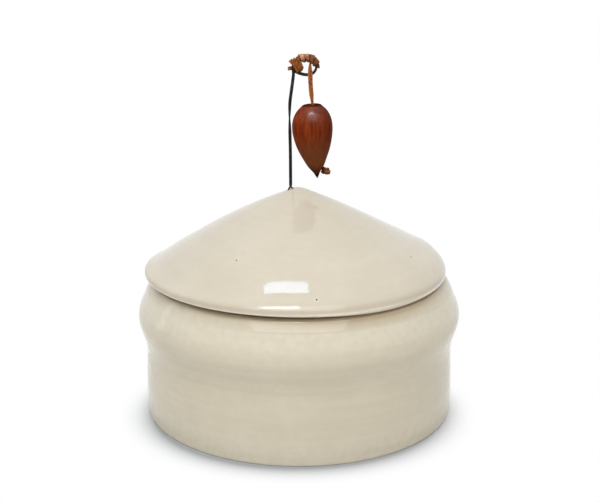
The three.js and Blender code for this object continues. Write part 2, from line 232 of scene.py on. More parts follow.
def sweep(
    line: Array, section: Array, across: Array, roll: Array | float = 0.0, widths: Array | float = 1.0
) -> Array:
    """Carries a section along a line.

    Ring i, corner j lies at p_i + w_i x_j (cos r_i s_i + sin r_i d_i) + y_j (cos r_i d_i - sin r_i s_i),
    where s is the across direction made square to the line, d is square to both, w is the width and r the
    roll.

    Args:
        line: The line's points.
        section: The section as (side, depth) pairs.
        across: The direction of the section's side, one for all or one for each point.
        roll: The section's turn about the line, in radians.
        widths: The scale of the section's side.

    Returns:
        The rings, of shape (points, corners, 3).
    """
    ahead = tangents_of(line)
    across = np.broadcast_to(across, line.shape)
    side = unit(across - (across * ahead).sum(1, keepdims=True) * ahead)
    depth = np.cross(ahead, side)
    roll = np.broadcast_to(roll, len(line))[:, None]
    turned_side = np.cos(roll) * side + np.sin(roll) * depth
    turned_depth = np.cos(roll) * depth - np.sin(roll) * side
    widths = np.broadcast_to(widths, len(line))[:, None, None]
    x, y = section[None, :, :1], section[None, :, 1:]
    return line[:, None] + widths * x * turned_side[:, None] + y * turned_depth[:, None]


# Skins and meshes


@dataclass
class Skin:
    """A closed surface made of rings joined by quads, with a fan at each end.

    Attributes:
        rings: Points in millimetres, of shape (rings, corners, 3).
        start: The first fan's tip, or None for the first ring's middle.
        end: The last fan's tip, or None for the last ring's middle.
    """

    rings: Array
    start: Array | None = None
    end: Array | None = None

    def vertices(self) -> Array:
        """Gives every point.

        Returns:
            The rings' points, then the two tips.
        """
        first = self.rings[0].mean(0) if self.start is None else self.start
        last = self.rings[-1].mean(0) if self.end is None else self.end
        return np.vstack([self.rings.reshape(-1, 3), first, last])

    def faces(self) -> list[Array]:
        """Gives the quads and the two fans, turned over where the volume inside would be negative.

        Six times the volume is the sum of a . (b x c) over the triangles that the faces fall into.

        Returns:
            The quads, the first fan's triangles and the last fan's, as rows of vertex numbers.
        """
        count, corners = self.rings.shape[:2]
        i, j = np.meshgrid(np.arange(count - 1), np.arange(corners), indexing="ij")
        here, onwards = i * corners + j, i * corners + (j + 1) % corners
        quads = np.stack([here, onwards, onwards + corners, here + corners], axis=-1).reshape(-1, 4)
        rim = np.arange(corners)
        after = (rim + 1) % corners
        tip = count * corners
        last = tip - corners
        first_fan = np.stack([after, rim, np.full(corners, tip)], axis=1)
        last_fan = np.stack([rim + last, after + last, np.full(corners, tip + 1)], axis=1)
        points = self.vertices()
        volume = 0.0
        for triangles in (quads[:, :3], quads[:, [0, 2, 3]], first_fan, last_fan):
            a, b, c = (points[triangles[:, k]] for k in range(3))
            volume += (a * np.cross(b, c)).sum()
        found = [quads, first_fan, last_fan]
        return found if volume > 0 else [faces[:, ::-1] for faces in found]

    def mask(self, values: Array, first: float = 0.0, last: float = 0.0) -> Array:
        """Gives a number for each vertex.

        Args:
            values: One for each point of the rings, which is held between 0 and 1.
            first: The first tip's.
            last: The last tip's.

        Returns:
            All of them in the order of the vertices.
        """
        return np.concatenate([np.clip(values, 0, 1).ravel(), [first, last]])


def draw(name: str, skins: list[Skin], material: Material, masks: dict[str, Array] | None = None) -> Piece:
    """Makes one mesh object of closed skins.

    Args:
        name: The object's name.
        skins: The skins, in millimetres.
        material: Its finish.
        masks: Named numbers from 0 to 1 for each vertex, which the finish can read.

    Returns:
        The object, linked to the scene, its origin at the frame's.
    """
    points, loops, sizes, base = [], [], [], 0
    for skin in skins:
        vertices = skin.vertices()
        points.append(vertices)
        for faces in skin.faces():
            loops.append((faces + base).ravel())
            sizes.append(np.full(len(faces), faces.shape[1]))
        base += len(vertices)
    flat_loops, flat_sizes = np.concatenate(loops), np.concatenate(sizes)
    starts = np.concatenate([[0], np.cumsum(flat_sizes)[:-1]])
    mesh = bpy.data.meshes.new(name)
    mesh.vertices.add(base)
    mesh.vertices.foreach_set("co", (np.vstack(points) * MM).astype(np.float32).ravel())
    mesh.loops.add(len(flat_loops))
    mesh.loops.foreach_set("vertex_index", flat_loops.astype(np.int32))
    mesh.polygons.add(len(flat_sizes))
    mesh.polygons.foreach_set("loop_start", starts.astype(np.int32))
    mesh.polygons.foreach_set("use_smooth", np.ones(len(flat_sizes), bool))
    mesh.update(calc_edges=True)
    mesh.validate()
    for mask, values in (masks or {}).items():
        mesh.attributes.new(mask, "FLOAT", "POINT").data.foreach_set("value", values.astype(np.float32))
    mesh.set_sharp_from_angle(angle=SHARP_EDGE)
    mesh.materials.append(material)
    made = bpy.data.objects.new(name, mesh)
    bpy.context.scene.collection.objects.link(made)
    log.info("%s: %d faces", name, len(flat_sizes))
    return made


def bore_out(made: Piece, cores: list[Skin]) -> None:
    """Cuts closed skins out of an object and keeps the result as its mesh.

    Args:
        made: The object.
        cores: What is cut away.
    """
    cutter = draw("cutter", cores, made.data.materials[0])
    cut = made.modifiers.new("bore", "BOOLEAN")
    cut.operation = "DIFFERENCE"
    cut.solver = "EXACT"
    cut.object = cutter
    bpy.context.view_layer.update()
    evaluated = made.evaluated_get(bpy.context.evaluated_depsgraph_get())
    bored = bpy.data.meshes.new_from_object(evaluated)
    made.modifiers.clear()
    made.data = bored
    bpy.data.objects.remove(cutter)


# Finishes


class Graph:
    """A node tree with short calls for what the finishes use."""

    def __init__(self, tree: bpy.types.NodeTree) -> None:
        """Keeps the tree."""
        self.tree = tree

    def add(self, kind: str, **settings: object) -> bpy.types.Node:
        """Adds a node.

        Args:
            kind: The node's type.
            settings: Its own settings.

        Returns:
            The node.
        """
        node = self.tree.nodes.new(kind)
        for key, value in settings.items():
            setattr(node, key, value)
        return node

    def feed(self, socket: Socket, value: object) -> None:
        """Sets a socket to a value, or links it to another socket.

        Args:
            socket: The socket.
            value: A plain value or the other socket.
        """
        if isinstance(value, Socket):
            self.tree.links.new(value, socket)
        else:
            socket.default_value = value

    def math(self, operation: str, first: object, second: object, clamp: bool = False) -> Socket:
        """Adds a Math node.

        Args:
            operation: What it works out.
            first: Its first value.
            second: Its second value.
            clamp: Whether the result is held between 0 and 1.

        Returns:
            Its result.
        """
        node = self.add("ShaderNodeMath", operation=operation, use_clamp=clamp)
        self.feed(node.inputs[0], first)
        self.feed(node.inputs[1], second)
        return node.outputs[0]

    def times(self, first: object, second: object) -> Socket:
        """Multiplies two values."""
        return self.math("MULTIPLY", first, second)

    def place(self, scale: Point = EVEN, turn: Point = ORIGIN, origin: Point = ORIGIN) -> Socket:
        """Gives object coordinates in millimetres.

        Args:
            scale: Their scale along each axis, after the turn.
            turn: Their turn, in radians.
            origin: Where they start, in millimetres.

        Returns:
            The coordinates.
        """
        moved = self.add("ShaderNodeVectorMath", operation="SUBTRACT")
        self.feed(moved.inputs[0], self.add("ShaderNodeTexCoord").outputs["Object"])
        moved.inputs[1].default_value = tuple(MM * c for c in origin)
        node = self.add("ShaderNodeMapping")
        self.feed(node.inputs["Vector"], moved.outputs[0])
        node.inputs["Rotation"].default_value = turn
        node.inputs["Scale"].default_value = tuple(s / MM for s in scale)
        return node.outputs[0]

    def noise(self, vector: Socket, scale: float, detail: float, roughness: float = 0.5) -> Socket:
        """Adds a noise texture.

        Args:
            vector: Where it is read.
            scale: How fine it is.
            detail: How many finer layers it has.
            roughness: How strong these are.

        Returns:
            Its value.
        """
        node = self.add("ShaderNodeTexNoise")
        self.feed(node.inputs["Vector"], vector)
        node.inputs["Scale"].default_value = scale
        node.inputs["Detail"].default_value = detail
        node.inputs["Roughness"].default_value = roughness
        return node.outputs[0]

    def span(
        self, value: object, low: float, high: float, to_low: float = 0.0, to_high: float = 1.0
    ) -> Socket:
        """Maps one range of values to another and holds it at both ends.

        Args:
            value: The value to map.
            low: The value that becomes to_low.
            high: The value that becomes to_high.
            to_low: The result at low.
            to_high: The result at high.

        Returns:
            The result.
        """
        node = self.add("ShaderNodeMapRange")
        for socket, given in zip(node.inputs[:5], (value, low, high, to_low, to_high)):
            self.feed(socket, given)
        return node.outputs[0]

    def mix(self, factor: object, first: object, second: object) -> Socket:
        """Mixes two colours.

        Args:
            factor: How much of the second.
            first: The first colour.
            second: The second colour.

        Returns:
            The mixed colour.
        """
        node = self.add("ShaderNodeMix", data_type="RGBA")
        self.feed(node.inputs["Factor"], factor)
        for socket, colour in ((node.inputs[6], first), (node.inputs[7], second)):
            self.feed(socket, (*colour, 1.0) if isinstance(colour, tuple) else colour)
        return node.outputs[2]

    def layers(self, colour: object, *layers: tuple[Socket, float, Rgb]) -> Socket:
        """Lays colours over one another.

        Args:
            colour: The lowest colour.
            layers: The others, each as where it lies, how strongly and its colour.

        Returns:
            The colour on top.
        """
        for where, strength, tone in layers:
            colour = self.mix(self.times(where, strength), colour, tone)
        return colour

    def mask(self, name: str) -> Socket:
        """Reads a named number of the mesh."""
        return self.add("ShaderNodeAttribute", attribute_name=name).outputs["Fac"]

    def group(self, tree: bpy.types.NodeTree, **given: object) -> Socket:
        """Adds a shared group.

        Args:
            tree: The group.
            given: Its inputs by name.

        Returns:
            Its only output.
        """
        node = self.add("ShaderNodeGroup", node_tree=tree)
        for name, value in given.items():
            self.feed(node.inputs[name], value)
        return node.outputs[0]


def shared_group(
    name: str, inputs: dict[str, float | None], output: str
) -> tuple[Graph, bpy.types.Node, bpy.types.Node]:
    """Starts a shared node group.

    Args:
        name: The group's name.
        inputs: Its inputs, each a number's default, or None for a vector.
        output: Its output's name: Mask for a number, Normal for a vector.

    Returns:
        Its graph, its input node and its output node.
    """
    tree = bpy.data.node_groups.new(name, "ShaderNodeTree")
    for label, default in inputs.items():
        kind = "NodeSocketVector" if default is None else "NodeSocketFloat"
        socket = tree.interface.new_socket(label, in_out="INPUT", socket_type=kind)
        if default is not None:
            socket.default_value = default
    kind = "NodeSocketVector" if output == "Normal" else "NodeSocketFloat"
    tree.interface.new_socket(output, in_out="OUTPUT", socket_type=kind)
    graph = Graph(tree)
    return graph, graph.add("NodeGroupInput"), graph.add("NodeGroupOutput")


def flecks_group() -> bpy.types.NodeTree:
    """Makes small round flecks of random sizes: Vector, Scale and Size in, Mask out.

    Returns:
        The group.
    """
    graph, given, result = shared_group("flecks", {"Vector": None, "Scale": 1.0, "Size": 0.1}, "Mask")
    cells = graph.add("ShaderNodeTexVoronoi")
    graph.feed(cells.inputs["Vector"], given.outputs["Vector"])
    graph.feed(cells.inputs["Scale"], given.outputs["Scale"])
    tone = graph.add("ShaderNodeSeparateColor")
    graph.feed(tone.inputs[0], cells.outputs["Color"])
    size = graph.times(given.outputs["Size"], tone.outputs[0])
    inside = graph.math("SUBTRACT", size, cells.outputs["Distance"])
    edge_steepness = 20.0
    graph.feed(result.inputs[0], graph.math("MULTIPLY", inside, edge_steepness, clamp=True))
    return graph.tree


def relief_group() -> bpy.types.NodeTree:
    """Turns a height in millimetres into a normal: Height and Strength in, Normal out.

    Returns:
        The group.
    """
    graph, given, result = shared_group("relief", {"Height": 0.0, "Strength": 1.0}, "Normal")
    bump = graph.add("ShaderNodeBump")
    bump.inputs["Distance"].default_value = MM
    graph.feed(bump.inputs["Strength"], given.outputs["Strength"])
    graph.feed(bump.inputs["Height"], given.outputs["Height"])
    graph.feed(result.inputs[0], bump.outputs[0])
    return graph.tree


FLECKS = flecks_group()
RELIEF = relief_group()


def new_finish(name: str, constants: dict[str, float]) -> tuple[Material, Graph, bpy.types.Node]:
    """Starts a material.

    Args:
        name: Its name.
        constants: Values that are the same all over, set on the shader itself.

    Returns:
        The material, its graph and its Principled shader.
    """
    material = bpy.data.materials.new(name)
    material.use_nodes = True
    graph = Graph(material.node_tree)
    shader = next(node for node in graph.tree.nodes if node.type == "BSDF_PRINCIPLED")
    for key, value in constants.items():
        shader.inputs[key].default_value = value
    return material, graph, shader


@dataclass(frozen=True)
class Glaze:
    """Glossy cream glaze over thrown porcelain.

    Attributes:
        name: The material's name.
        body: Its main colour.
        thin: Its colour where the glaze runs thin and where light is painted.
        pooled: Its colour where the glaze lies thick.
        bands: How strongly the throwing rings show in its colour, from 0 to 1.
        pinholes: Where tiny bubbles burst in the firing, as x and y in millimetres.
        clay: The colour of the bare clay, also used for the brown tint and painted shade on the jar's
            shoulder.
        iron: The colour of the iron flecks in the clay.
        pit: The colour in a pinhole.
    """

    name: str
    body: Rgb
    thin: Rgb
    pooled: Rgb
    bands: float
    pinholes: Outline = ()
    clay: Rgb = (0.33, 0.232, 0.125)
    iron: Rgb = (0.33, 0.22, 0.12)
    pit: Rgb = (0.06, 0.045, 0.03)

    def build(self) -> Material:
        """Makes the material.

        Returns:
            The material.
        """
        material, graph, shader = new_finish(self.name, {"IOR": 1.5, "Specular IOR Level": 0.5})
        where = graph.place()
        colour = self.glazed(graph, where)
        for pinhole in self.pinholes:
            colour = self.add_pinhole(graph, colour, pinhole)
        # The raw mask is bare clay, and on the jar also the brown tint and painted shade on the shoulder.
        raw = graph.mask("raw")
        graph.feed(shader.inputs["Base Color"], graph.mix(raw, colour, self.clay))
        gloss = graph.span(graph.noise(where, 0.4, 2), 0.3, 0.7, 0.035, 0.08)
        matt = graph.span(raw, 0.76, 1.0, 0.0, 0.7)
        graph.feed(shader.inputs["Roughness"], graph.math("ADD", gloss, matt))
        waves = graph.times(graph.noise(where, 0.12, 2), 0.012)
        fine = graph.times(graph.noise(where, 0.5, 2), 0.007)
        height = graph.math("ADD", waves, fine)
        graph.feed(shader.inputs["Normal"], graph.group(RELIEF, Height=height, Strength=1.0))
        return material

    def glazed(self, graph: Graph, where: Socket) -> Socket:
        """Mixes the glaze's colour: clouds, throwing bands, thin places, iron flecks, mottle and grain.

        The thin mask also carries painted light.

        Args:
            graph: The material's graph.
            where: Object coordinates in millimetres.

        Returns:
            The colour.
        """
        clouds = graph.span(graph.noise(where, 0.035, 3), 0.35, 0.68)
        bands = graph.span(graph.noise(graph.place((0.012, 0.012, 0.42)), 1.0, 4, 0.6), 0.36, 0.66)
        flecks = graph.group(FLECKS, Vector=where, Scale=0.62, Size=0.16)
        mottle = graph.span(graph.noise(where, 0.28, 3), 0.4, 0.66)
        grain = graph.span(graph.noise(where, 1.6, 2), 0.3, 0.7)
        return graph.layers(
            self.body,
            (clouds, 0.8, self.pooled),
            (bands, self.bands, self.thin),
            # The thin mask also carries painted light: near the jar's foot and along the lid's lower edge.
            (graph.mask("thin"), 1.0, self.thin),
            (flecks, 0.28, self.iron),
            (mottle, 0.3, self.pooled),
            (grain, 0.1, self.pooled),
        )

    def add_pinhole(self, graph: Graph, colour: Socket, pinhole: Pair) -> Socket:
        """Adds one pinhole: a dark dot in a paler ring.

        Args:
            graph: The material's graph.
            colour: The glaze's colour so far.
            pinhole: The dot's x and y, in millimetres.

        Returns:
            The new colour.
        """
        away = graph.add("ShaderNodeVectorMath", operation="DISTANCE")
        graph.feed(away.inputs[0], graph.place((1, 1, 0)))
        away.inputs[1].default_value = (*pinhole, 0)
        halo = graph.span(away.outputs["Value"], 0.5, 1.15, 0.5, 0.0)
        dot = graph.span(away.outputs["Value"], 0.3, 0.6, 0.95, 0.0)
        return graph.mix(dot, graph.mix(halo, colour, self.thin), self.pit)


@dataclass(frozen=True)
class Wood:
    """Turned wood, dyed red-brown and waxed, with painted shade on the bead's right side.

    Attributes:
        name: The material's name.
        light: The colour between the grain's streaks.
        dark: The streaks' colour.
        dull: The colour of its lower half, where the wax has gone.
        burnt: The colour round the bore and at the tip, also used for the shade painted on the bead's right
            side.
        top: The middle of the bead's top, where the grain's coordinates start.
        tilt: The lean of the bead's axis, in radians.
    """

    name: str
    light: Rgb
    dark: Rgb
    dull: Rgb
    burnt: Rgb
    top: Point
    tilt: float

    def along_grain(self, graph: Graph, across: float, along: float) -> Socket:
        """Gives coordinates along the bead's axis.

        Args:
            graph: The material's graph.
            across: Their scale across the grain.
            along: Their scale along the grain.

        Returns:
            The coordinates.
        """
        return graph.place((across, across, along), (0.0, self.tilt, 0.0), self.top)

    def build(self) -> Material:
        """Makes the material.

        Returns:
            The material.
        """
        material, graph, shader = new_finish(
            self.name, {"Specular IOR Level": 0.0, "Coat Roughness": 0.22}
        )
        streaks = graph.noise(self.along_grain(graph, 0.62, 0.035), 1.0, 5, 0.65)
        pores = graph.noise(self.along_grain(graph, 3.2, 0.16), 1.0, 3, 0.6)
        rings = graph.noise(self.along_grain(graph, 0.16, 0.012), 1.0, 3, 0.5)
        colour = graph.layers(
            self.light,
            (graph.span(streaks, 0.38, 0.62), 1.0, self.dark),
            (graph.span(rings, 0.4, 0.7), 0.55, self.dark),
            (graph.span(pores, 0.56, 0.7), 0.6, self.burnt),
            (graph.mask("dull"), 0.8, self.dull),
            # The burnt mask also holds the painted shade on the bead's right side.
            (graph.mask("burnt"), 1.0, self.burnt),
        )
        graph.feed(shader.inputs["Base Color"], colour)
        graph.feed(shader.inputs["Coat Weight"], graph.mask("waxed"))
        graph.feed(shader.inputs["Roughness"], graph.span(pores, 0.3, 0.75, 0.24, 0.5))
        pits = graph.times(graph.span(pores, 0.55, 0.72, 1.0, 0.0), 0.03)
        height = graph.math("ADD", pits, graph.times(streaks, 0.03))
        graph.feed(shader.inputs["Normal"], graph.group(RELIEF, Height=height, Strength=0.8))
        return material


@dataclass(frozen=True)
class Leather:
    """A flat leather lace, dyed brown, paler where it is cut or bent, with painted shade along its long
    edges.

    Attributes:
        name: The material's name.
        face: The colour of its smooth face.
        deep: The colour of its pores and folds.
        cut: The colour of its cut and worn edges, and of the painted highlight on the winding.
        painted_shade: The colour of the shade painted along its long edges, in the creases where turns meet.
    """

    name: str
    face: Rgb
    deep: Rgb
    cut: Rgb
    painted_shade: Rgb = (0.035, 0.01, 0.004)

    def build(self) -> Material:
        """Makes the material.

        Returns:
            The material.
        """
        material, graph, shader = new_finish(self.name, {"Specular IOR Level": 0.15})
        mottle = graph.noise(graph.place(), 0.9, 4, 0.6)
        fibres = graph.noise(graph.place((3.4, 3.4, 0.8)), 1.0, 4, 0.65)
        # On the winding the edge mask is a painted highlight; on the other pieces it marks cut and worn
        # edges.
        worn = graph.times(graph.mask("edge"), graph.span(mottle, 0.3, 0.6, 0.5, 1.0))
        colour = graph.layers(
            self.deep,
            (graph.span(mottle, 0.36, 0.66), 1.0, self.face),
            (graph.span(fibres, 0.5, 0.68), 0.55, self.deep),
            (worn, 1.0, self.cut),
            # Painted shade along the long edges, in the creases where turns meet.
            (graph.mask("painted_shade"), 1.0, self.painted_shade),
        )
        graph.feed(shader.inputs["Base Color"], colour)
        graph.feed(shader.inputs["Roughness"], graph.span(fibres, 0.3, 0.7, 0.42, 0.72))
        height = graph.times(fibres, 0.09)
        graph.feed(shader.inputs["Normal"], graph.group(RELIEF, Height=height, Strength=0.9))
        return material


@dataclass(frozen=True)
class BlackWire:
    """Steel wire blackened by annealing, rubbed bright in places.

    Attributes:
        name: The material's name.
        scale: The colour of the black scale.
        rubbed: The colour where it is rubbed.
    """

    name: str
    scale: Rgb
    rubbed: Rgb

    def build(self) -> Material:
        """Makes the material.

        Returns:
            The material.
        """
        material, graph, shader = new_finish(self.name, {"Specular IOR Level": 0.2})
        patches = graph.noise(graph.place(), 0.5, 4, 0.6)
        drawn = graph.noise(graph.place((4.0, 4.0, 0.3)), 1.0, 3, 0.6)
        colour = graph.layers(self.scale, (graph.span(patches, 0.52, 0.72), 0.8, self.rubbed))
        graph.feed(shader.inputs["Base Color"], colour)
        graph.feed(shader.inputs["Roughness"], graph.span(drawn, 0.3, 0.7, 0.34, 0.6))
        height = graph.times(drawn, 0.02)
        graph.feed(shader.inputs["Normal"], graph.group(RELIEF, Height=height, Strength=0.7))
        return material


# Clay


def turned_rings(profile: Array, sides: int, middle_x: float = 0.0) -> tuple[Array, Array, Array]:
    """Turns a profile of (radius, height) round an upright axis: (r cos a, r sin a, z).

    Args:
        profile: The profile's points, none on the axis.
        sides: How many points each ring has.
        middle_x: Where the axis stands.

    Returns:
        The rings, and each point's angle and radius from the axis, as (rings, sides) arrays.
    """
    angle = np.linspace(0, TURN, sides, endpoint=False)[None, :]
    radius = profile[:, :1] * np.ones_like(angle)
    angle = angle * np.ones_like(radius)
    height = profile[:, 1:] * np.ones_like(radius)
    rings = np.stack([middle_x + radius * np.cos(angle), radius * np.sin(angle), height], axis=-1)
    return rings, angle, radius


@dataclass
class Jar:
    """The thrown jar, with its foot ring, waist, bulging shoulder and rim.

    Attributes:
        sides: Points in each ring.
        outer: The outer wall's outline above the foot, as (radius, height) in millimetres.
        inner: The inner wall's outline, from rim to floor.
        mouth: The mouth's radius.
        recess: How high the underside lies inside the foot ring.
        floor: The floor's height inside.
        ring_gap: The height from one throwing ring to the next.
        ring_depth: The throwing rings' depth.
        grooves: The finger grooves in the wall, each as (height, depth, width).
        ridge_above: How far above a groove its soft ridge lies.
        ridge_share: The ridge's height as a share of the groove's depth.
        wave_depth: How far the wall waves in and out round the pot.
        brown_and_shade_most_at: The direction in which the shoulder's brown tint and painted shade are
            strongest, in degrees.
        brown_and_shade_reach: How far the brown tint and painted shade reach to each side, in degrees.
    """

    sides: int = 288
    outer: Outline = (
        (77.2, 0.8), (77.25, 9), (77.0, 20), (76.65, 27.5), (76.6, 32.5), (77.45, 38.2), (78.95, 43.0),
        (80.0, 48.3), (79.3, 53.0), (77.2, 58.0), (75.9, 61.2), (74.45, 64.0), (73.65, 65.3), (72.85, 66.4),
        (71.8, 67.2), (70.3, 67.95), (67.5, 69.0),
    )
    inner: Outline = (
        (62.0, 67.6), (63.0, 66.2), (67.2, 64.0), (71.5, 58.8), (74.1, 53.3), (75.0, 48.3), (73.8, 42.5),
        (71.6, 32.5), (72.2, 16.0),
    )
    mouth: float = 62.0
    recess: float = 1.6
    floor: float = 6.0
    ring_gap: float = 4.1
    ring_depth: float = 0.006
    grooves: tuple[Point, ...] = ((33.4, 0.08, 1.2), (25.0, 0.05, 1.2), (12.5, 0.03, 1.6))
    ridge_above: float = 1.9
    ridge_share: float = 0.6
    wave_depth: float = 0.1
    brown_and_shade_most_at: float = 293.0
    brown_and_shade_reach: float = 36.0

    def profile(self) -> Array:
        """Gives the whole outline from the middle of the underside to the middle of the floor.

        Returns:
            Points as (radius, height).
        """
        return np.vstack([
            spaced(np.array([(0.5, self.recess), (67.6, self.recess)]), 14),
            corner_round((68.0, 1.5), (69.2, 1.2), (69.6, 0.1)),
            spaced(np.array([(70.0, 0.0), (75.6, 0.0)]), 8),
            corner_round((76.7, 0.0), (77.15, 0.02), (77.2, 0.45)),
            smooth_through(np.array(self.outer), 190),
            corner_round((67.0, 69.2), (self.mouth, 69.4), (self.mouth, 67.8), 10),
            smooth_through(np.array(self.inner), 110),
            corner_round((72.1, 15.0), (72.0, self.floor), (62.0, self.floor), 14),
            spaced(np.array([(61.0, self.floor), (0.5, self.floor)]), 20),
        ])

    def thrown(self, height: Array, angle: Array) -> Array:
        """Gives how far the outer wall stands out where the potter's fingers left it uneven.

        The sum of ring_depth sin(2 pi z / ring_gap + 0.5 sin a), of a bell-shaped groove with a ridge above
        it at each height of grooves, which drifts by 0.4 sin(a + 0.6) mm, and of a slow wave round the pot.

        Args:
            height: Each point's height.
            angle: Its angle round the axis.

        Returns:
            Millimetres for each point.
        """
        found = self.ring_depth * np.sin(TURN * height / self.ring_gap + 0.5 * np.sin(angle))
        drift = 0.4 * np.sin(angle + 0.6)
        for middle, depth, width in self.grooves:
            found -= depth * bell(height, middle + drift, width)
            found += self.ridge_share * depth * bell(height, middle + drift + self.ridge_above, width)
        wave = self.wave_depth * ripple(self.sides, 4, 5, closed=True)[None, :]
        return found + wave * ramp(height, 0, 30)

    def thin_glaze_and_painted_light(self, height: Array, radius: Array) -> Array:
        """Gives where the glaze runs thin and where light reflected from the floor is painted.

        The glaze runs thin over the shoulder and at the rim. The painted light lies on the low wall and in a
        line along the foot's edge.

        Args:
            height: Each point's height.
            radius: Its distance from the axis.

        Returns:
            A number for each point, 0 where the glaze is thick and no light is painted.
        """
        shoulder = 0.6 * bell(height, 59, 6)
        rim = bell(height, 69.2, 1.0)
        # Painted light reflected from the floor: on the low wall, and in a line along the foot's edge.
        painted_floor_reflection = 0.7 * (1 - ramp(height, 0, 16))
        painted_foot_line = bell(height, 0.9, 1.2)
        return shoulder + rim + (painted_floor_reflection + painted_foot_line) * (radius > 75)

    def bare_clay_and_painted_shade(self, height: Array, radius: Array, angle: Array) -> Array:
        """Gives where clay shows on the foot ring and rim, and where the shoulder below the lid is darkened.

        The darkening is a brown tint with painted shade under the lid's overhang,
        strongest towards the right front.

        Args:
            height: Each point's height.
            radius: Its distance from the axis.
            angle: Its angle round the axis.

        Returns:
            A number for each point, 0 under glaze and 1 on bare clay; the darkened shoulder reaches at most
            0.75.
        """
        # Brown tint and painted shade on the shoulder under the lid's overhang, strongest towards the right
        # front.
        most = bell(np.degrees(angle), self.brown_and_shade_most_at, self.brown_and_shade_reach)
        brown_and_painted_shade = (0.14 + 0.48 * most) * ramp(height, 61.5, 4.2)
        brown_and_painted_shade += (0.12 + 0.58 * most) * ramp(height, 65.2, 1.6)
        still_glossy = 0.75
        foot_ring = (height < 0.9) & (radius > 68.5) & (radius < 76)
        rim = ramp(height, 67.3, 0.6)
        return foot_ring + np.clip(brown_and_painted_shade, 0, still_glossy) * (radius > 66) + rim

    def build(self, material: Material) -> Piece:
        """Draws the jar.

        Args:
            material: Its glaze.

        Returns:
            The object.
        """
        rings, angle, radius = turned_rings(self.profile(), self.sides)
        height = rings[..., 2]
        outside = (radius > 75.5) & (height > 3)
        scale = 1 + outside * self.thrown(height, angle) / radius
        rings[..., :2] *= scale[..., None]
        skin = Skin(rings, start=np.array([0, 0, self.recess]), end=np.array([0, 0, self.floor]))
        masks = {
            # The thin mask also carries light from the floor, painted near the foot.
            "thin": skin.mask(self.thin_glaze_and_painted_light(height, radius)),
            # The raw mask also carries the shoulder's brown tint and painted shade.
            "raw": skin.mask(self.bare_clay_and_painted_shade(height, radius, angle)),
        }
        made = draw("jar", [skin], material, masks)
        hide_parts("jar_body")
        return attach(made, Body.JAR.value)


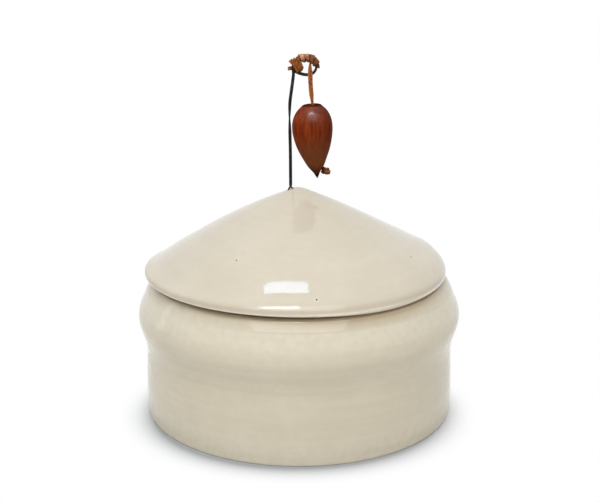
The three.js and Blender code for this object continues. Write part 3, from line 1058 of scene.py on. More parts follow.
@dataclass
class Lid:
    """The thrown cone lid, hollow below, with its locating flange and the handle's two holes.

    Attributes:
        middle_x: Where its axis stands, a little left of the jar's.
        sides: Points in each ring.
        cone: The cone's outline from its widest line to its peak, as (radius, height) in millimetres.
        cone_rings: How many rings the cone has.
        dome: The hollow's outline from under the peak, as (radius, height).
        peak: The peak's height.
        rim_from: The radius beyond which it counts as rim.
        rim_width: The rim's width.
        rim_shift: How far the rim stands further right than the cone.
        sags: Where the rim sags, each as (direction and reach in degrees, depth).
        hollows: Shallow hollows near the rim, each as (side, -1 for left and 1 for right, radius, width,
            depth, power of the side's cosine).
        lean: How far the peak leans to the right.
        lean_from: The height from which it leans.
        ring_gap: The distance from one throwing ring to the next.
        ring_depth: The throwing rings' depth.
        pinch: The middle of the clay pinched up round the wire, as x and y.
        pinch_height: Its height.
        holes: Where the handle's legs go through, as x and y.
        hole_radius: The holes' radius.
    """

    middle_x: float = -2.2
    sides: int = 288
    cone: Outline = (
        (74.37, 71.0), (74.2, 71.7), (73.86, 72.34), (73.4, 72.88), (72.9, 73.4), (72.4, 73.86),
        (71.9, 74.25), (70.5, 75.22), (69.0, 76.18), (67.5, 77.12), (64.5, 78.9), (61.5, 80.65),
        (60.0, 81.51), (57.0, 83.2), (50.0, 87.2), (41.0, 92.3), (30.4, 97.8), (20.6, 102.5), (11.4, 106.5),
        (6.6, 108.5), (2.6, 110.05), (0.6, 110.48),
    )
    cone_rings: int = 200
    dome: Outline = ((0.6, 103.0), (6.9, 102.2), (30.0, 91.6), (54.6, 79.2))
    peak: float = 110.5
    rim_from: float = 66.0
    rim_width: float = 8.4
    rim_shift: float = 0.3
    sags: tuple[Point, ...] = ((303, 22, 0.95), (148, 28, 0.65))
    hollows: tuple[tuple[float, ...], ...] = ((-1, 71, 8, 1.2, 1), (1, 65, 6, 0.6, 2), (1, 71.5, 3, 0.45, 2))
    lean: float = 1.9
    lean_from: float = 90.0
    ring_gap: float = 5.3
    ring_depth: float = 0.012
    pinch: Pair = (-4.1, -1.6)
    pinch_height: float = 0.8
    holes: Outline = ((-5.15, -2.0), (-3.05, -2.0))
    hole_radius: float = 0.7

    def profile(self) -> Array:
        """Gives the whole outline from under the peak, round the flange and the rim, to the peak.

        Returns:
            Points as (radius, height).
        """
        return np.vstack([
            smooth_through(np.array(self.dome), 60),
            corner_round((55.0, 78.4), (55.2, 77.0), (55.0, 75.0)),
            corner_round((55.0, 63.2), (55.1, 61.5), (57.0, 61.5)),
            corner_round((57.4, 61.5), (59.0, 61.6), (59.0, 63.2)),
            corner_round((59.0, 68.7), (59.0, 69.5), (59.8, 69.5)),
            spaced(np.array([(60.5, 69.5), (70.2, 69.5)]), 10),
            corner_round((70.6, 69.4), (71.3, 68.6), (72.3, 68.6), 6),
            corner_round((72.6, 68.62), (74.4, 68.8), (74.38, 70.3), 9),
            smooth_through(np.array(self.cone), self.cone_rings),
        ])

    def rim_lift(self, angle: Array) -> Array:
        """Gives how far the fired rim is lifted: 0.2 sin 2a - 0.27 cos a mm, less the two sags.

        Args:
            angle: Each point's angle round the axis.

        Returns:
            Millimetres for each point.
        """
        lift = 0.2 * np.sin(2 * angle) - 0.27 * np.cos(angle)
        for direction, reach, depth in self.sags:
            lift -= depth * bell(np.degrees(angle), direction, reach)
        return lift

    def fullness(self, angle: Array, radius: Array) -> Array:
        """Gives how far the sides stand above the front's slope, the right more than the left.

        With s = r / rim_from and e = max(r - rim_from, 0) it is
        (2.2 s^2 |cos a| cos a + 1.2 s^6 cos^2 a) (1 - (e / 9)^2), less the hollows, which fade out towards
        the rim's edge.

        Args:
            angle: Each point's angle round the axis.
            radius: Its distance from the axis.

        Returns:
            Millimetres for each point.
        """
        side = np.cos(angle)
        share = radius / self.rim_from
        full = 2.2 * share**2 * np.abs(side) * side + 1.2 * share**6 * side**2
        full *= 1 - (np.clip(radius - self.rim_from, 0, None) / 9) ** 2
        to_edge = 1 - ramp(radius, 71.2, 3.2) ** 2
        for toward, middle, width, depth, power in self.hollows:
            full -= depth * bell(radius, middle, width) * np.clip(toward * side, 0, 1) ** power * to_edge
        return full

    def build(self, material: Material) -> Piece:
        """Draws the lid and bores its two holes.

        The rim's warp and shift grow with the square of the distance from rim_from. The height stays a view
        of the rings, so it follows them as they are moved.

        Args:
            material: Its glaze.

        Returns:
            The object.
        """
        profile = self.profile()
        rings, angle, radius = turned_rings(profile, self.sides, self.middle_x)
        height = rings[..., 2]
        outer = np.arange(len(profile))[:, None] >= len(profile) - self.cone_rings
        rim = ramp(radius, self.rim_from, self.rim_width) ** 2
        rings[..., 2] += rim * self.rim_lift(angle)
        rings[..., 0] += self.rim_shift * rim
        ringed = ramp(height, 84, 10) * (radius < 60) * outer
        rings[..., 0] += self.lean * ramp(height, self.lean_from, self.peak - self.lean_from) ** 1.5
        rings[..., 2] += self.fullness(angle, radius) * outer
        wave = np.sin(TURN * radius / self.ring_gap + 0.7 * np.sin(angle))
        rings[..., 2] += self.ring_depth * ringed * wave
        from_wire = np.hypot(rings[..., 0] - self.pinch[0], rings[..., 1] - self.pinch[1])
        rings[..., 2] += self.pinch_height * bell(from_wire, 0, 2.4) * outer * (height > 106)

        top_x = self.middle_x + self.lean
        under_peak = np.array([top_x, 0, self.dome[0][1]])
        skin = Skin(rings, start=under_peak, end=np.array([top_x, 0, self.peak]))
        seat = (radius > 59.5) & (radius < 70.5) & (height < 69.8)
        worn_rim = 0.25 * bell(height, 71.3, 1.3) * (radius > 73)
        masks = {
            # A painted highlight along the rim's lower edge, where the glaze also runs thin.
            "thin": skin.mask(bell(height, 69.6, 0.5) * (radius > 71.5)),
            "raw": skin.mask(seat + worn_rim),
        }
        made = draw("lid_cone", [skin], material, masks)
        bore_out(made, [self.core(x, y) for x, y in self.holes])
        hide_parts("lid")
        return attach(made, Body.LID.value)

    def core(self, x: float, y: float) -> Skin:
        """Gives the upright core of one hole.

        Args:
            x: Where it stands, to the right.
            y: Where it stands, to the back.

        Returns:
            A cylinder that reaches through the lid's top.
        """
        line = np.array([(x, y, z) for z in (99.0, 104.0, 108.0, 113.0)])
        return Skin(sweep(line, round_section(self.hole_radius, 24), X_AXIS))


# Wire handle


@dataclass
class WireHandle:
    """One wire, doubled and loosely twisted: two legs through the lid, a bowed stem and an eye.

    Attributes:
        wire: The wire's diameter.
        depth: The plane of the stem and the eye, as y.
        stem: The stem's course, as (x, height).
        leg_course: Each leg's course, as (distance outwards from the stem's foot, height).
        eye_middle: The middle of the eye, as (x, height).
        eye_length: The length of the eye's centre line.
        eye_round: The radius of its round ends.
        eye_back: The course from the eye's lower end to behind the stem, as (x, height).
        twists: The pair's twist, as (share of its length, half turns).
        pressed: How far the two strands are pressed into each other.
    """

    wire: float = 0.8
    depth: float = -2.0
    stem: Outline = (
        (-4.1, 111.9), (-4.13, 119.0), (-4.2, 129.0), (-4.41, 138.6), (-4.54, 145.8), (-4.3, 152.5),
        (-3.6, 157.8), (-3.0, 162.2), (-2.65, 165.6),
    )
    leg_course: Outline = (
        (5.05, 100.3), (3.25, 101.15), (1.75, 101.7), (1.05, 102.5), (1.05, 104.5), (1.05, 108.3),
        (0.95, 109.7), (0.62, 110.8),
    )
    eye_middle: Pair = (2.65, 168.95)
    eye_length: float = 11.0
    eye_round: float = 3.85
    eye_back: Outline = ((2.4, 165.2), (0.45, 165.7), (-1.2, 166.35), (-2.5, 167.05))
    twists: Outline = ((0, 0), (0.3, 0.08), (0.38, 0.5), (0.46, 0.92), (0.6, 1.1), (0.78, 1.5), (1, 2.0))
    pressed: float = 0.01

    def round_at(self, side: int, degrees: float) -> Pair:
        """Gives a point on the eye's left (-1) or right (1) round end.

        Args:
            side: Which end.
            degrees: The angle on it, from the right and upwards.

        Returns:
            The point as (x, height).
        """
        x = self.eye_middle[0] + side * (self.eye_length / 2 - self.eye_round)
        angle = math.radians(degrees)
        return x + self.eye_round * math.cos(angle), self.eye_middle[1] + self.eye_round * math.sin(angle)

    def centre_line(self) -> Array:
        """Gives the pair's centre line, from the fork round the eye and back behind the stem.

        Returns:
            The line's points.
        """
        left = [self.round_at(-1, degrees) for degrees in (180, 150, 120, 90)]
        right = [self.round_at(1, degrees) for degrees in (90, 60, 30, 0, -30, -60, -90)]
        flat = [*self.stem, *left, *right, *self.eye_back]
        line = np.array([(x, self.depth, z) for x, z in flat])
        line[-2:, 1] += (0.25, 0.75)
        return smooth_through(line, 420)

    def strands(self) -> Array:
        """Gives the whole wire's line: up one strand, round the bight at the eye's end and down the other.

        The strands lie opposite each other, at the twist's angle, half a diameter less pressed from the
        centre line.

        Returns:
            The line's points.
        """
        centre = self.centre_line()
        shares, half_turns = np.array(self.twists).T
        along = lengths_along(centre)
        twist = math.pi * np.interp(along / along[-1], shares, half_turns)
        ahead = tangents_of(centre)
        side = unit(np.cross(ahead, Y_AXIS))
        depth = np.cross(side, ahead)
        offset = np.cos(twist)[:, None] * side + np.sin(twist)[:, None] * depth
        offset *= self.wire / 2 - self.pressed
        tip = centre[-1] + ahead[-1] * 0.45
        up = np.vstack([self.leg(1), centre + offset])
        down = np.vstack([self.leg(-1), centre - offset])
        return spaced(np.vstack([up, tip, down[::-1]]), 1500)

    def leg(self, sign: int) -> Array:
        """Gives one leg, from its bent end under the lid up through its hole, almost to the fork.

        Args:
            sign: 1 for the right leg, -1 for the left.

        Returns:
            The line's points.
        """
        fork = self.stem[0][0]
        points = [(fork + sign * away, self.depth, z) for away, z in self.leg_course]
        return smooth_through(np.array(points), 60)[:-1]

    def build(self, material: Material) -> Piece:
        """Draws the wire as one tube.

        Args:
            material: Its finish.

        Returns:
            The object.
        """
        skin = Skin(sweep(self.strands(), round_section(self.wire / 2, 14), Y_AXIS))
        made = draw("wire", [skin], material)
        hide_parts("wire_handle")
        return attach(made, Body.LID.value)


# Leather lace


def nearness_to_edge(skin: Skin) -> Array:
    """Gives |cos a|^3 for each point of a lace's rings, which is 1 at its long edges and 0 over its faces."""
    count, corners = skin.rings.shape[:2]
    return np.abs(np.cos(lace_angles(corners))) ** 3 * np.ones((count, 1))


def painted_shade_mask(skins: list[Skin]) -> Array:
    """Gives each vertex its nearness to a long edge, where shade is painted, and 0 at the two tips."""
    return np.concatenate([skin.mask(nearness_to_edge(skin)) for skin in skins])


def edge_mask(skins: list[Skin], ends: float = 1.0) -> Array:
    """Gives each vertex its nearness to a long edge or, if that is higher, to a cut end, over three rings.

    Args:
        skins: The lace's skins.
        ends: How much the cut ends count.

    Returns:
        A number for each vertex.
    """
    values = []
    for skin in skins:
        ring = np.arange(len(skin.rings))
        at_end = ends * np.clip(1 - np.minimum(ring, ring[::-1]) / 3, 0, 1)[:, None]
        values.append(skin.mask(np.maximum(nearness_to_edge(skin), at_end), ends, ends))
    return np.concatenate(values)


@dataclass
class Lace:
    """The flat leather lace: hitch, winding, and the stretch that hangs with the bead.

    Attributes:
        handle: The wire handle that it is tied to.
        width: Its width.
        thickness: Its thickness.
        turns: How many turns the winding has.
        hanging: The hanging stretch's course to the bead's bore, as points.
        tapers: The hanging stretch's width as (height, share of the lace's width).
        upper_bend: The height of the upper bend, where the lace swings.
        lower_bend: The height of the lower bend, where it sways.
    """

    handle: WireHandle
    width: float = 2.1
    thickness: float = 1.0
    turns: float = 4.5
    hanging: tuple[Point, ...] = (
        (5.35, -1.9, 171.1), (5.25, -2.3, 169.6), (5.2, -3.05, 168.0), (5.22, -3.5, 166.8),
        (5.3, -3.6, 165.2), (5.35, -3.6, 163.0), (5.55, -3.6, 159.5), (5.95, -3.6, 155.4),
        (6.4, -3.6, 151.4), (9.0, -3.6, 135.5), (11.4, -3.6, 120.8),
    )
    tapers: Outline = (
        (171.1, 0.35), (169.2, 0.64), (167.4, 0.95), (165.0, 1.07), (156.0, 1.0), (153.4, 0.68),
        (152.0, 0.55), (120.0, 0.55),
    )
    upper_bend: float = 164.5
    lower_bend: float = 160.85

    def ribbon(self, points: list[Point], across: Array, count: int, width: float, seed: int) -> Skin:
        """Draws a stretch of lace with two ragged cut ends.

        Args:
            points: Its course.
            across: The direction of its long side.
            count: How many rings it has.
            width: Its width.
            seed: The seed of its small irregularities.

        Returns:
            Its skin.
        """
        line = smooth_through(np.array(points), count)
        section = lace_section(width, self.thickness)
        widths = 1 + 0.05 * ripple(count, seed, 6)
        rings = sweep(line, section, across, 0.12 * ripple(count, seed + 1, 3), widths)
        random = np.random.default_rng(seed)
        ragged = 0.55
        ahead = tangents_of(line)
        for end, sign in ((0, -1), (-1, 1)):
            rings[end] += sign * ahead[end] * random.uniform(0, ragged, (len(section), 1))
        return Skin(rings)

    def hitch(self, material: Material) -> Piece:
        """Draws the hitch: two passes over the eye's left end and two short cut ends.

        Args:
            material: Its leather.

        Returns:
            The object.
        """
        front, behind = -3.7, -0.3
        left_pass = [
            (-4.0, front - 0.2, 171.8), (-3.1, front - 0.3, 170.8), (-2.0, front - 0.3, 169.4),
            (-1.2, front - 0.1, 168.2), (-0.6, front + 0.4, 167.2), (-0.5, -2.3, 166.7),
            (-0.7, behind, 167.1),
        ]
        right_pass = [
            (-2.8, front - 0.4, 172.4), (-1.9, front - 0.5, 171.4), (-0.8, front - 0.5, 169.9),
            (0.1, front - 0.3, 168.7), (0.8, front + 0.3, 167.7), (1.0, -2.3, 167.2),
            (0.7, behind, 167.5),
        ]
        over_top = [
            (-0.9, behind - 0.2, 172.2), (-0.8, -1.3, 173.1), (-0.6, -2.7, 172.8), (-0.1, front, 171.7),
            (0.5, front, 170.4), (1.0, front, 169.1), (1.4, front + 0.6, 168.1),
        ]
        tail = [
            (0.2, behind + 0.2, 168.0), (-1.6, behind, 168.2), (-3.2, behind - 0.6, 168.1),
            (-4.8, behind - 1.0, 167.9),
        ]
        slanting = unit(np.array([0.8, 0.0, 0.6]))
        upright = unit(np.array([0.25, 0.0, 1.0]))
        skins = [
            self.ribbon(left_pass, slanting, 60, 1.75, seed=11),
            self.ribbon(right_pass, slanting, 60, 1.75, seed=17),
            self.ribbon(over_top, slanting, 60, 1.75, seed=21),
            self.ribbon(tail, upright, 40, 1.8, seed=31),
        ]
        # Shade is painted along the hitch's long edges.
        masks = {"edge": edge_mask(skins) * 0.5, "painted_shade": painted_shade_mask(skins)}
        made = draw("hitch", skins, material, masks)
        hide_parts("lace_hitch")
        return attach(made, Body.LID.value)

    def winding_line(self, share: Array) -> tuple[Array, Array, Array]:
        """Gives the winding's line round the eye's upper arc.

        At share t the wire's place is c(t) with outward direction o(t), and the lace lies at
        c + R (cos k o - sin k y), k = pi + 2 pi n t with n turns, R falling towards the end, where the lace
        is drawn tight.

        Args:
            share: Each point's share of the winding, t.

        Returns:
            The line, the wire's direction at each point, and how far each point is to the inner side, from
            0 to 1.
        """
        handle = self.handle
        count = len(share)
        straight = handle.eye_length - 2 * handle.eye_round
        arc = math.radians(92)
        start, beyond = -1.0, 0.8
        gone = start + share * (straight + arc * handle.eye_round + beyond)
        angle = math.pi / 2 - np.clip(gone - straight, 0, None) / handle.eye_round
        x0, z0 = handle.round_at(1, 90)
        wire_x = np.where(gone < straight, x0 - straight + gone, x0 + handle.eye_round * np.cos(angle))
        wire_z = np.where(gone < straight, z0, z0 - handle.eye_round * (1 - np.sin(angle)))
        place = np.stack([wire_x, np.full(count, handle.depth), wire_z], axis=1)
        outward = np.stack([np.cos(angle), np.zeros(count), np.sin(angle)], axis=1)
        along = np.stack([np.sin(angle), np.zeros(count), -np.cos(angle)], axis=1)
        turn = math.pi + TURN * self.turns * share
        radius = np.interp(share, (0, 0.55, 0.8, 1), (1.45, 1.45, 1.25, 1.0)) + 0.05 * ripple(count, 7, 9)
        line = place + radius[:, None] * (np.cos(turn)[:, None] * outward - np.sin(turn)[:, None] * Y_AXIS)
        return line, along, (1 - np.cos(turn)) / 2

    def winding(self, material: Material) -> Piece:
        """Draws the winding, narrower where its turns crowd inside the eye and towards its end.

        Args:
            material: Its leather.

        Returns:
            The object.
        """
        count = 460
        share = np.linspace(0, 1, count)
        line, along, inner = self.winding_line(share)
        section = lace_section(self.width, self.thickness * 1.1, 0.5)
        widths = (1.36 - 0.55 * inner) * (1 + 0.03 * ripple(count, 3, 8))
        widths *= np.interp(share, (0.8, 1), (1, 0.75))
        roll = 0.13 + 0.04 * ripple(count, 5, 7)
        skin = Skin(sweep(line, section, along, roll, widths))
        # A painted highlight on the outer side of the winding's first turns, carried by the edge mask.
        rubbed = bell(share, 0.2, 0.2) * (1 - inner)
        # Shade is painted along the winding's long edges, where its turns meet.
        masks = {"edge": skin.mask(np.repeat(rubbed, len(section))), "painted_shade": painted_shade_mask([skin])}
        made = draw("winding", [skin], material, masks)
        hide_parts("lace_wrap")
        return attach(made, Body.LID.value)

    def hang(self, material: Material) -> tuple[Piece, Array]:
        """Draws the hanging stretch in three pieces that meet at the two bends.

        Args:
            material: Its leather.

        Returns:
            The lowest piece and its line, in metres.
        """
        line = smooth_through(np.array(self.hanging), 260)
        height = line[:, 2]
        heights, tapers = np.array(self.tapers).T
        widths = np.interp(-height, -heights, tapers) * (1 + 0.025 * ripple(len(line), 9, 9))
        roll = 0.1 * ripple(len(line), 13, 4)
        rings = sweep(line, lace_section(self.width, self.thickness), X_AXIS, roll, widths)
        upper = int(np.argmin(abs(height - self.upper_bend)))
        lower = int(np.argmin(abs(height - self.lower_bend)))
        made = []
        for name, node, part in (
            ("lace_top", "lace_bridge", rings[: upper + 1]),
            ("lace_bend", "lace_link", rings[upper : lower + 1]),
            ("lace_hanging", "lace_drop", rings[lower:]),
        ):
            skins = [Skin(part)]
            piece = draw(name, skins, material, {"edge": edge_mask(skins, ends=0.0)})
            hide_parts(node)
            made.append(piece)
        top, bend, hanging = made
        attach(top, Body.LID.value)
        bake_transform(bend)
        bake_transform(hanging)
        return hanging, line[lower:] * MM


# Bead and knot


@dataclass
class Bead:
    """The turned wooden drop and the stopper knot below it.

    Attributes:
        top: The middle of its top.
        tilt: The lean of its axis, in radians.
        length: Its length.
        radius: Its radius.
        sides: Points in each ring.
        bow: How far its middle lies to the left of the line from its top to its tip.
        top_shift: How far its top is shifted to the left.
        outline: Its outline as shares of radius and of length from the top.
        dish: How deep its top is dished.
        bore: The bore's radius.
        exit: Where the lace comes out beside the tip.
        knotted_width: The lace's width in the knot, where it is pulled tight.
    """

    top: Point = (6.4, -3.6, 151.4)
    tilt: float = math.radians(4.0)
    length: float = 35.8
    radius: float = 9.7
    sides: int = 96
    bow: float = 0.6
    top_shift: float = 0.45
    outline: Outline = (
        (0.36, 0.0), (0.44, 0.007), (0.56, 0.035), (0.75, 0.088), (0.87, 0.142), (0.969, 0.22), (1.0, 0.33),
        (0.944, 0.45), (0.812, 0.584), (0.605, 0.718), (0.368, 0.846), (0.161, 0.922), (0.06, 0.975),
        (0.015, 0.998),
    )
    dish: float = 0.9
    bore: float = 1.3
    exit: Point = (11.6, -3.6, 119.7)
    knotted_width: float = 1.9

    def placed(self, points: Array) -> Array:
        """Leans points about the top's middle and moves them there."""
        return points @ np.array(Euler((0, -self.tilt, 0)).to_matrix()).T + self.top

    def shades(self, skin: Skin, depth: Array, angle: Array) -> dict[str, Array]:
        """Gives where the wood is waxed, dull or dark, part of the dark being painted shade.

        The wax is polished at the front of the top, by exp(-(d/7)^2) max(-sin a, 0)^3, d being the depth
        below the top. Shade is painted towards the right side, fading out below the middle. The wood is burnt
        round the bore and at the tip.

        Args:
            skin: The bead's skin.
            depth: Each point's depth below the top.
            angle: Its angle round the axis.

        Returns:
            The masks that the wood reads.
        """
        burnt = (1 - ramp(depth, 0, 1.2)) ** 1.5 + ramp(depth, 27, 7) ** 1.5
        polished = bell(depth, 0, 7) * np.clip(-np.sin(angle), 0, 1) ** 3
        waxed = (0.06 + 0.94 * polished) * (1 - np.clip(2 * burnt, 0, 1))
        # Painted shade towards the right side, fading out below the middle; the burnt mask carries it.
        painted_side_shade = 0.34 * np.clip(0.45 + np.cos(angle), 0, 1) * (1 - ramp(depth, 16, 14))
        dark = burnt + painted_side_shade * (1 - np.clip(burnt, 0, 1))
        return {
            "waxed": skin.mask(waxed),
            # Burn and painted shade together.
            "burnt": skin.mask(dark, 1, 1),
            "dull": skin.mask(ramp(depth, 13, 9), 0, 1),
        }

    def build(self, material: Material) -> Piece:
        """Draws the bead, with its dished top and its slanting bore.

        Its axis is bowed sideways by bow sin(pi s), s being the share of its length from the top, and shifted
        by top_shift (1 - s).

        Args:
            material: Its wood.

        Returns:
            The object.
        """
        outline = np.array(self.outline) * (self.radius, -self.length)
        dish = corner_round((0.6, -self.dish), (2.2, -self.dish), tuple(outline[0]), 9)
        profile = np.vstack([dish[:-1], smooth_through(outline, 120)])
        rings, angle, _ = turned_rings(profile, self.sides)
        depth = -rings[..., 2]
        share = depth / self.length
        wobble = 1 + 0.008 * ripple(self.sides, 2, 4, closed=True)
        rings[..., :2] *= wobble[None, :, None]
        rings[..., 0] -= self.bow * np.sin(math.pi * np.clip(share, 0, 1)) + self.top_shift * (1 - share)
        start = np.array([-self.top_shift, 0, -self.dish])
        end = np.array([0, 0, -self.length])
        skin = Skin(self.placed(rings), self.placed(start), self.placed(end))
        made = draw("wooden_bead", [skin], material, self.shades(skin, depth, angle))
        bore_out(made, [self.core()])
        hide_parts("bead")
        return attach(made, Body.BEAD.value)

    def core(self) -> Skin:
        """Gives the slanting core of the bore, which stands out a little at both ends.

        Returns:
            A cylinder from above the top to beyond the exit.
        """
        top, out = np.array(self.top), np.array(self.exit)
        line = spaced(np.array([top - (out - top) * 0.06, out + (out - top) * 0.08]), 4)
        return Skin(sweep(line, round_section(self.bore, 28), X_AXIS))

    def shaded_side(self, skins: list[Skin]) -> Array:
        """Gives a number that falls from 1 at the bore's lower mouth to 0 at 1.3 mm to its right.

        Args:
            skins: The knot's skins.

        Returns:
            A number for each vertex.
        """
        reach, fade = 1.3, 0.8
        values = [(self.exit[0] + reach - skin.rings[..., 0]) / fade for skin in skins]
        return np.concatenate([skin.mask(near, 1, 0) for skin, near in zip(skins, values)])

    def knot(self, material: Material) -> Piece:
        """Draws the stopper knot: two tight turns round the lace's end.

        A turn runs at c + r (cos t u + sin t v) + 0.05 t w, w being the turn's own axis and u and v square to
        it, and r grows from 1.05 to 1.3 mm over a little more than one round.

        Args:
            material: Its leather.

        Returns:
            The object.
        """
        t = np.linspace(0, 1.12 * TURN, 60)[:, None]
        radius = np.linspace(1.05, 1.3, 60)[:, None]
        turn_section = lace_section(self.knotted_width, 1.0, 0.6)
        end_section = lace_section(self.knotted_width, 1.1, 0.6)
        skins = []
        for middle, axis in (
            ((11.9, -3.7, 119.5), (0.85, 0.1, -0.5)),
            ((13.3, -3.7, 119.1), (0.9, -0.3, 0.15)),
        ):
            along = unit(np.array(axis))
            u = unit(np.cross(along, Y_AXIS))
            v = np.cross(along, u)
            line = np.array(middle) + radius * (np.cos(t) * u + np.sin(t) * v) + 0.05 * t * along
            skins.append(Skin(sweep(line, turn_section, along)))
        end = [(11.35, -3.6, 121.0), (11.7, -3.6, 119.9), (13.2, -3.7, 119.0), (15.1, -3.9, 118.5)]
        end_across = unit(np.array([0.2, 0.6, 1.0]))
        skins.append(Skin(sweep(smooth_through(np.array(end), 40), end_section, end_across)))
        # Shade is painted in the knot's creases and beside the bore's lower mouth, under the bead.
        painted_shade = np.maximum(painted_shade_mask(skins), self.shaded_side(skins))
        made = draw("knot", skins, material, {"edge": edge_mask(skins) * 0.3, "painted_shade": painted_shade})
        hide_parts("stopper_knot")
        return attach(made, Body.BEAD.value)


# Stage

WHITE: Rgb = (1.0, 1.0, 1.0)
COOL: Rgb = (0.78, 0.88, 1.0)
BLUE: Rgb = (0.56, 0.72, 1.0)


@dataclass(frozen=True)
class Camera:
    """The photograph's viewpoint.

    Attributes:
        place: Where it stands, in millimetres.
        down: How far it looks down, in degrees.
        focal: Its focal length, in pixels of the photograph.
        photo_width: The photograph's width in pixels.
        sensor: The sensor's width, in millimetres.
    """

    place: Point = (0.45, -480.0, 210.25)
    down: float = 15.39
    focal: float = 1000.55
    photo_width: float = 600.0
    sensor: float = 36.0

    def build(self) -> None:
        """Makes the camera and sets it as the scene's."""
        data = bpy.data.cameras.new("camera")
        data.sensor_fit = "HORIZONTAL"
        data.sensor_width = self.sensor
        data.lens = self.focal / self.photo_width * self.sensor
        data.clip_start = 0.01
        data.clip_end = 20.0
        made = bpy.data.objects.new("camera", data)
        made.location = Vector(self.place) * MM
        made.rotation_euler = (math.radians(90 - self.down), 0, 0)
        bpy.context.scene.collection.objects.link(made)
        bpy.context.scene.camera = made


@dataclass(frozen=True)
class Softbox:
    """A rectangular light.

    Attributes:
        name: Its name.
        place: Its middle, in metres.
        size: Its width and height, in metres.
        power: Its power in watts.
        angles: Its turns about X and then Z, in degrees; with none it shines straight down.
        tint: Its colour.
    """

    name: str
    place: Point
    size: Pair
    power: float
    angles: Pair = (0.0, 0.0)
    tint: Rgb = WHITE

    def build(self) -> None:
        """Makes the light."""
        data = bpy.data.lights.new(self.name, "AREA")
        data.shape = "RECTANGLE"
        data.size, data.size_y = self.size
        data.energy = self.power
        data.color = self.tint
        made = bpy.data.objects.new(self.name, data)
        made.location = self.place
        made.rotation_euler = (math.radians(self.angles[0]), 0, math.radians(self.angles[1]))
        bpy.context.scene.collection.objects.link(made)


def seen_directly(graph: Graph) -> Socket:
    """Finds the camera's rays and those mirrored or refracted to it.

    Args:
        graph: The graph that asks.

    Returns:
        1 for these rays, 0 for light on the object.
    """
    ray = graph.add("ShaderNodeLightPath")
    seen = graph.math("MAXIMUM", ray.outputs["Is Camera Ray"], ray.outputs["Is Glossy Ray"])
    return graph.math("MAXIMUM", seen, ray.outputs["Is Transmission Ray"])


@dataclass(frozen=True)
class Floor:
    """The plain pale floor, which turns into the white background beyond the object's shadow.

    Attributes:
        half: Half the floor's side, in metres.
        middle: The middle of the shadow's oval, in millimetres, forward of the jar's, so that the shadow
            shows in front of the foot and hardly beside it.
        squeeze: The scale that turns the oval into a circle.
        inner: The circle's radius up to which the floor is fully shaded, in millimetres.
        outer: The radius from which it is all background.
        pale: The floor's colour outside the oval.
        shaded: Its colour in the oval.
    """

    half: float = 0.6
    middle: Point = (-1.0, -16.0, 0.0)
    squeeze: Point = (0.885, 1.0, 1.0)
    inner: float = 63.0
    outer: float = 82.4
    pale: Rgb = (0.93, 0.93, 0.93)
    shaded: Rgb = (0.36, 0.36, 0.36)

    def finish(self) -> Material:
        """Makes the floor's material.

        Returns:
            The material.
        """
        material, graph, shader = new_finish("floor", {"Roughness": 1.0, "Specular IOR Level": 0.0})
        away = graph.add("ShaderNodeVectorMath", operation="LENGTH")
        graph.feed(away.inputs[0], graph.place(self.squeeze, origin=self.middle))
        near = graph.span(away.outputs["Value"], self.inner, self.outer, 1.0, 0.0)
        graph.feed(shader.inputs["Base Color"], graph.mix(near, self.pale, self.shaded))
        far = graph.math("SUBTRACT", 1.0, graph.times(near, near))
        white = graph.add("ShaderNodeEmission")
        white.inputs["Strength"].default_value = 1.0
        either = graph.add("ShaderNodeMixShader")
        graph.feed(either.inputs[0], graph.times(far, seen_directly(graph)))
        graph.feed(either.inputs[1], shader.outputs[0])
        graph.feed(either.inputs[2], white.outputs[0])
        output = next(node for node in graph.tree.nodes if node.type == "OUTPUT_MATERIAL")
        graph.feed(output.inputs["Surface"], either.outputs[0])
        return material

    def build(self) -> None:
        """Makes the floor."""
        near, far = -self.half, self.half
        mesh = bpy.data.meshes.new("floor")
        corners = [(near, near, 0), (far, near, 0), (far, far, 0), (near, far, 0)]
        mesh.from_pydata(corners, [], [(0, 1, 2, 3)])
        mesh.materials.append(self.finish())
        made = bpy.data.objects.new("floor", mesh)
        bpy.context.scene.collection.objects.link(made)


def build_world(horizon: float, overhead: float) -> None:
    """Makes the white surroundings, which light the object more from above than from the sides.

    Args:
        horizon: How strongly the sides light the object.
        overhead: How strongly the sky above does.
    """
    world = bpy.data.worlds.new("surroundings")
    bpy.context.scene.world = world
    world.use_nodes = True
    graph = Graph(world.node_tree)
    graph.tree.nodes.clear()
    direction = graph.add("ShaderNodeSeparateXYZ")
    graph.feed(direction.inputs[0], graph.add("ShaderNodeTexCoord").outputs["Generated"])
    lighting = graph.add("ShaderNodeBackground")
    strength = graph.span(direction.outputs["Z"], 0.05, 0.5, horizon, overhead)
    graph.feed(lighting.inputs["Strength"], strength)
    white = graph.add("ShaderNodeBackground")
    white.inputs["Strength"].default_value = 1.0
    for shader in (lighting, white):
        shader.inputs["Color"].default_value = (*WHITE, 1.0)
    either = graph.add("ShaderNodeMixShader")
    graph.feed(either.inputs[0], seen_directly(graph))
    graph.feed(either.inputs[1], lighting.outputs[0])
    graph.feed(either.inputs[2], white.outputs[0])
    graph.feed(graph.add("ShaderNodeOutputWorld").inputs[0], either.outputs[0])


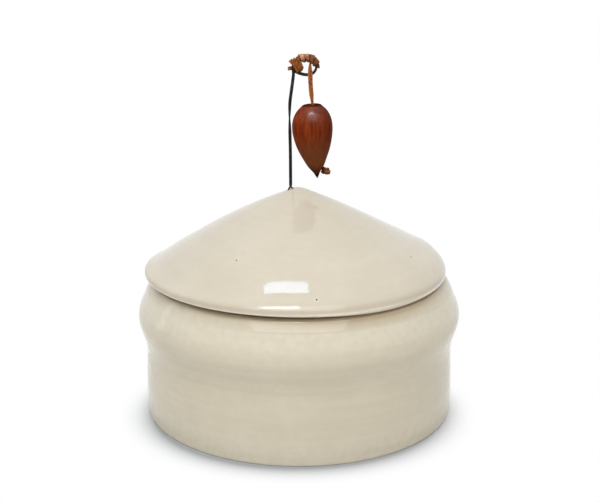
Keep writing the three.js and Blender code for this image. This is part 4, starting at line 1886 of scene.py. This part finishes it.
def build_stage() -> None:
    """Makes the floor, the surroundings, the lights and the camera."""
    bpy.context.scene.view_settings.view_transform = "Standard"
    Camera().build()
    Floor().build()
    build_world(horizon=0.18, overhead=0.62)
    Softbox("overhead", (-0.112, 0.229, 1.5), (0.44, 0.078), 0.85, tint=BLUE).build()
    Softbox("upper_front", (-0.197, -0.6, 1.425), (0.56, 0.44), 7.2, (21, 0), COOL).build()
    Softbox("front", (0.0, -0.95, 1.15), (1.6, 1.0), 10.3, (41, 0)).build()
    Softbox("left_strip", (-1.1, 0.35, 0.3), (0.1, 0.6), 0.15, (78, -108)).build()


# Assembly


def main() -> None:
    """Builds the stage and the finishes, then the pieces in the order in which they are put together."""
    logging.basicConfig(level=logging.INFO, format="%(name)s: %(message)s")
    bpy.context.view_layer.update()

    build_stage()
    bead = Bead()
    jar_glaze = Glaze(
        "jar_glaze",
        body=(0.587, 0.515, 0.388),
        thin=(0.69, 0.626, 0.487),
        pooled=(0.538, 0.472, 0.344),
        bands=0.2,
    ).build()
    lid_glaze = Glaze(
        "lid_glaze",
        body=(0.614, 0.54, 0.425),
        # Pale, for the painted highlight along the rim's lower edge.
        thin=(0.85, 0.78, 0.64),
        pooled=(0.567, 0.494, 0.374),
        bands=0.05,
        pinholes=((-28.3, -44.5), (52.7, -27.0), (7.6, -69.4)),
    ).build()
    wood = Wood(
        "wood",
        light=(0.275, 0.041, 0.005),
        dark=(0.132, 0.0145, 0.001),
        dull=(0.152, 0.048, 0.017),
        burnt=(0.02, 0.008, 0.005),
        top=bead.top,
        tilt=bead.tilt,
    ).build()
    leather = Leather("leather", (0.38, 0.115, 0.022), (0.15, 0.036, 0.008), (0.55, 0.22, 0.07)).build()
    # The dark leather's pale cut colour is the winding's painted highlight.
    dark_leather = Leather(
        "dark_leather", (0.3, 0.09, 0.024), (0.09, 0.024, 0.008), (0.7, 0.36, 0.19)
    ).build()
    wire = BlackWire("black_wire", scale=(0.012, 0.013, 0.009), rubbed=(0.05, 0.052, 0.042)).build()

    Jar().build(jar_glaze)
    Lid().build(lid_glaze)
    handle = WireHandle()
    handle.build(wire)
    lace = Lace(handle)
    lace.hitch(leather)
    lace.winding(dark_leather)
    hanging, route = lace.hang(leather)
    bead.build(wood)
    knot = bead.knot(leather)


if __name__ == "__main__":
    main()
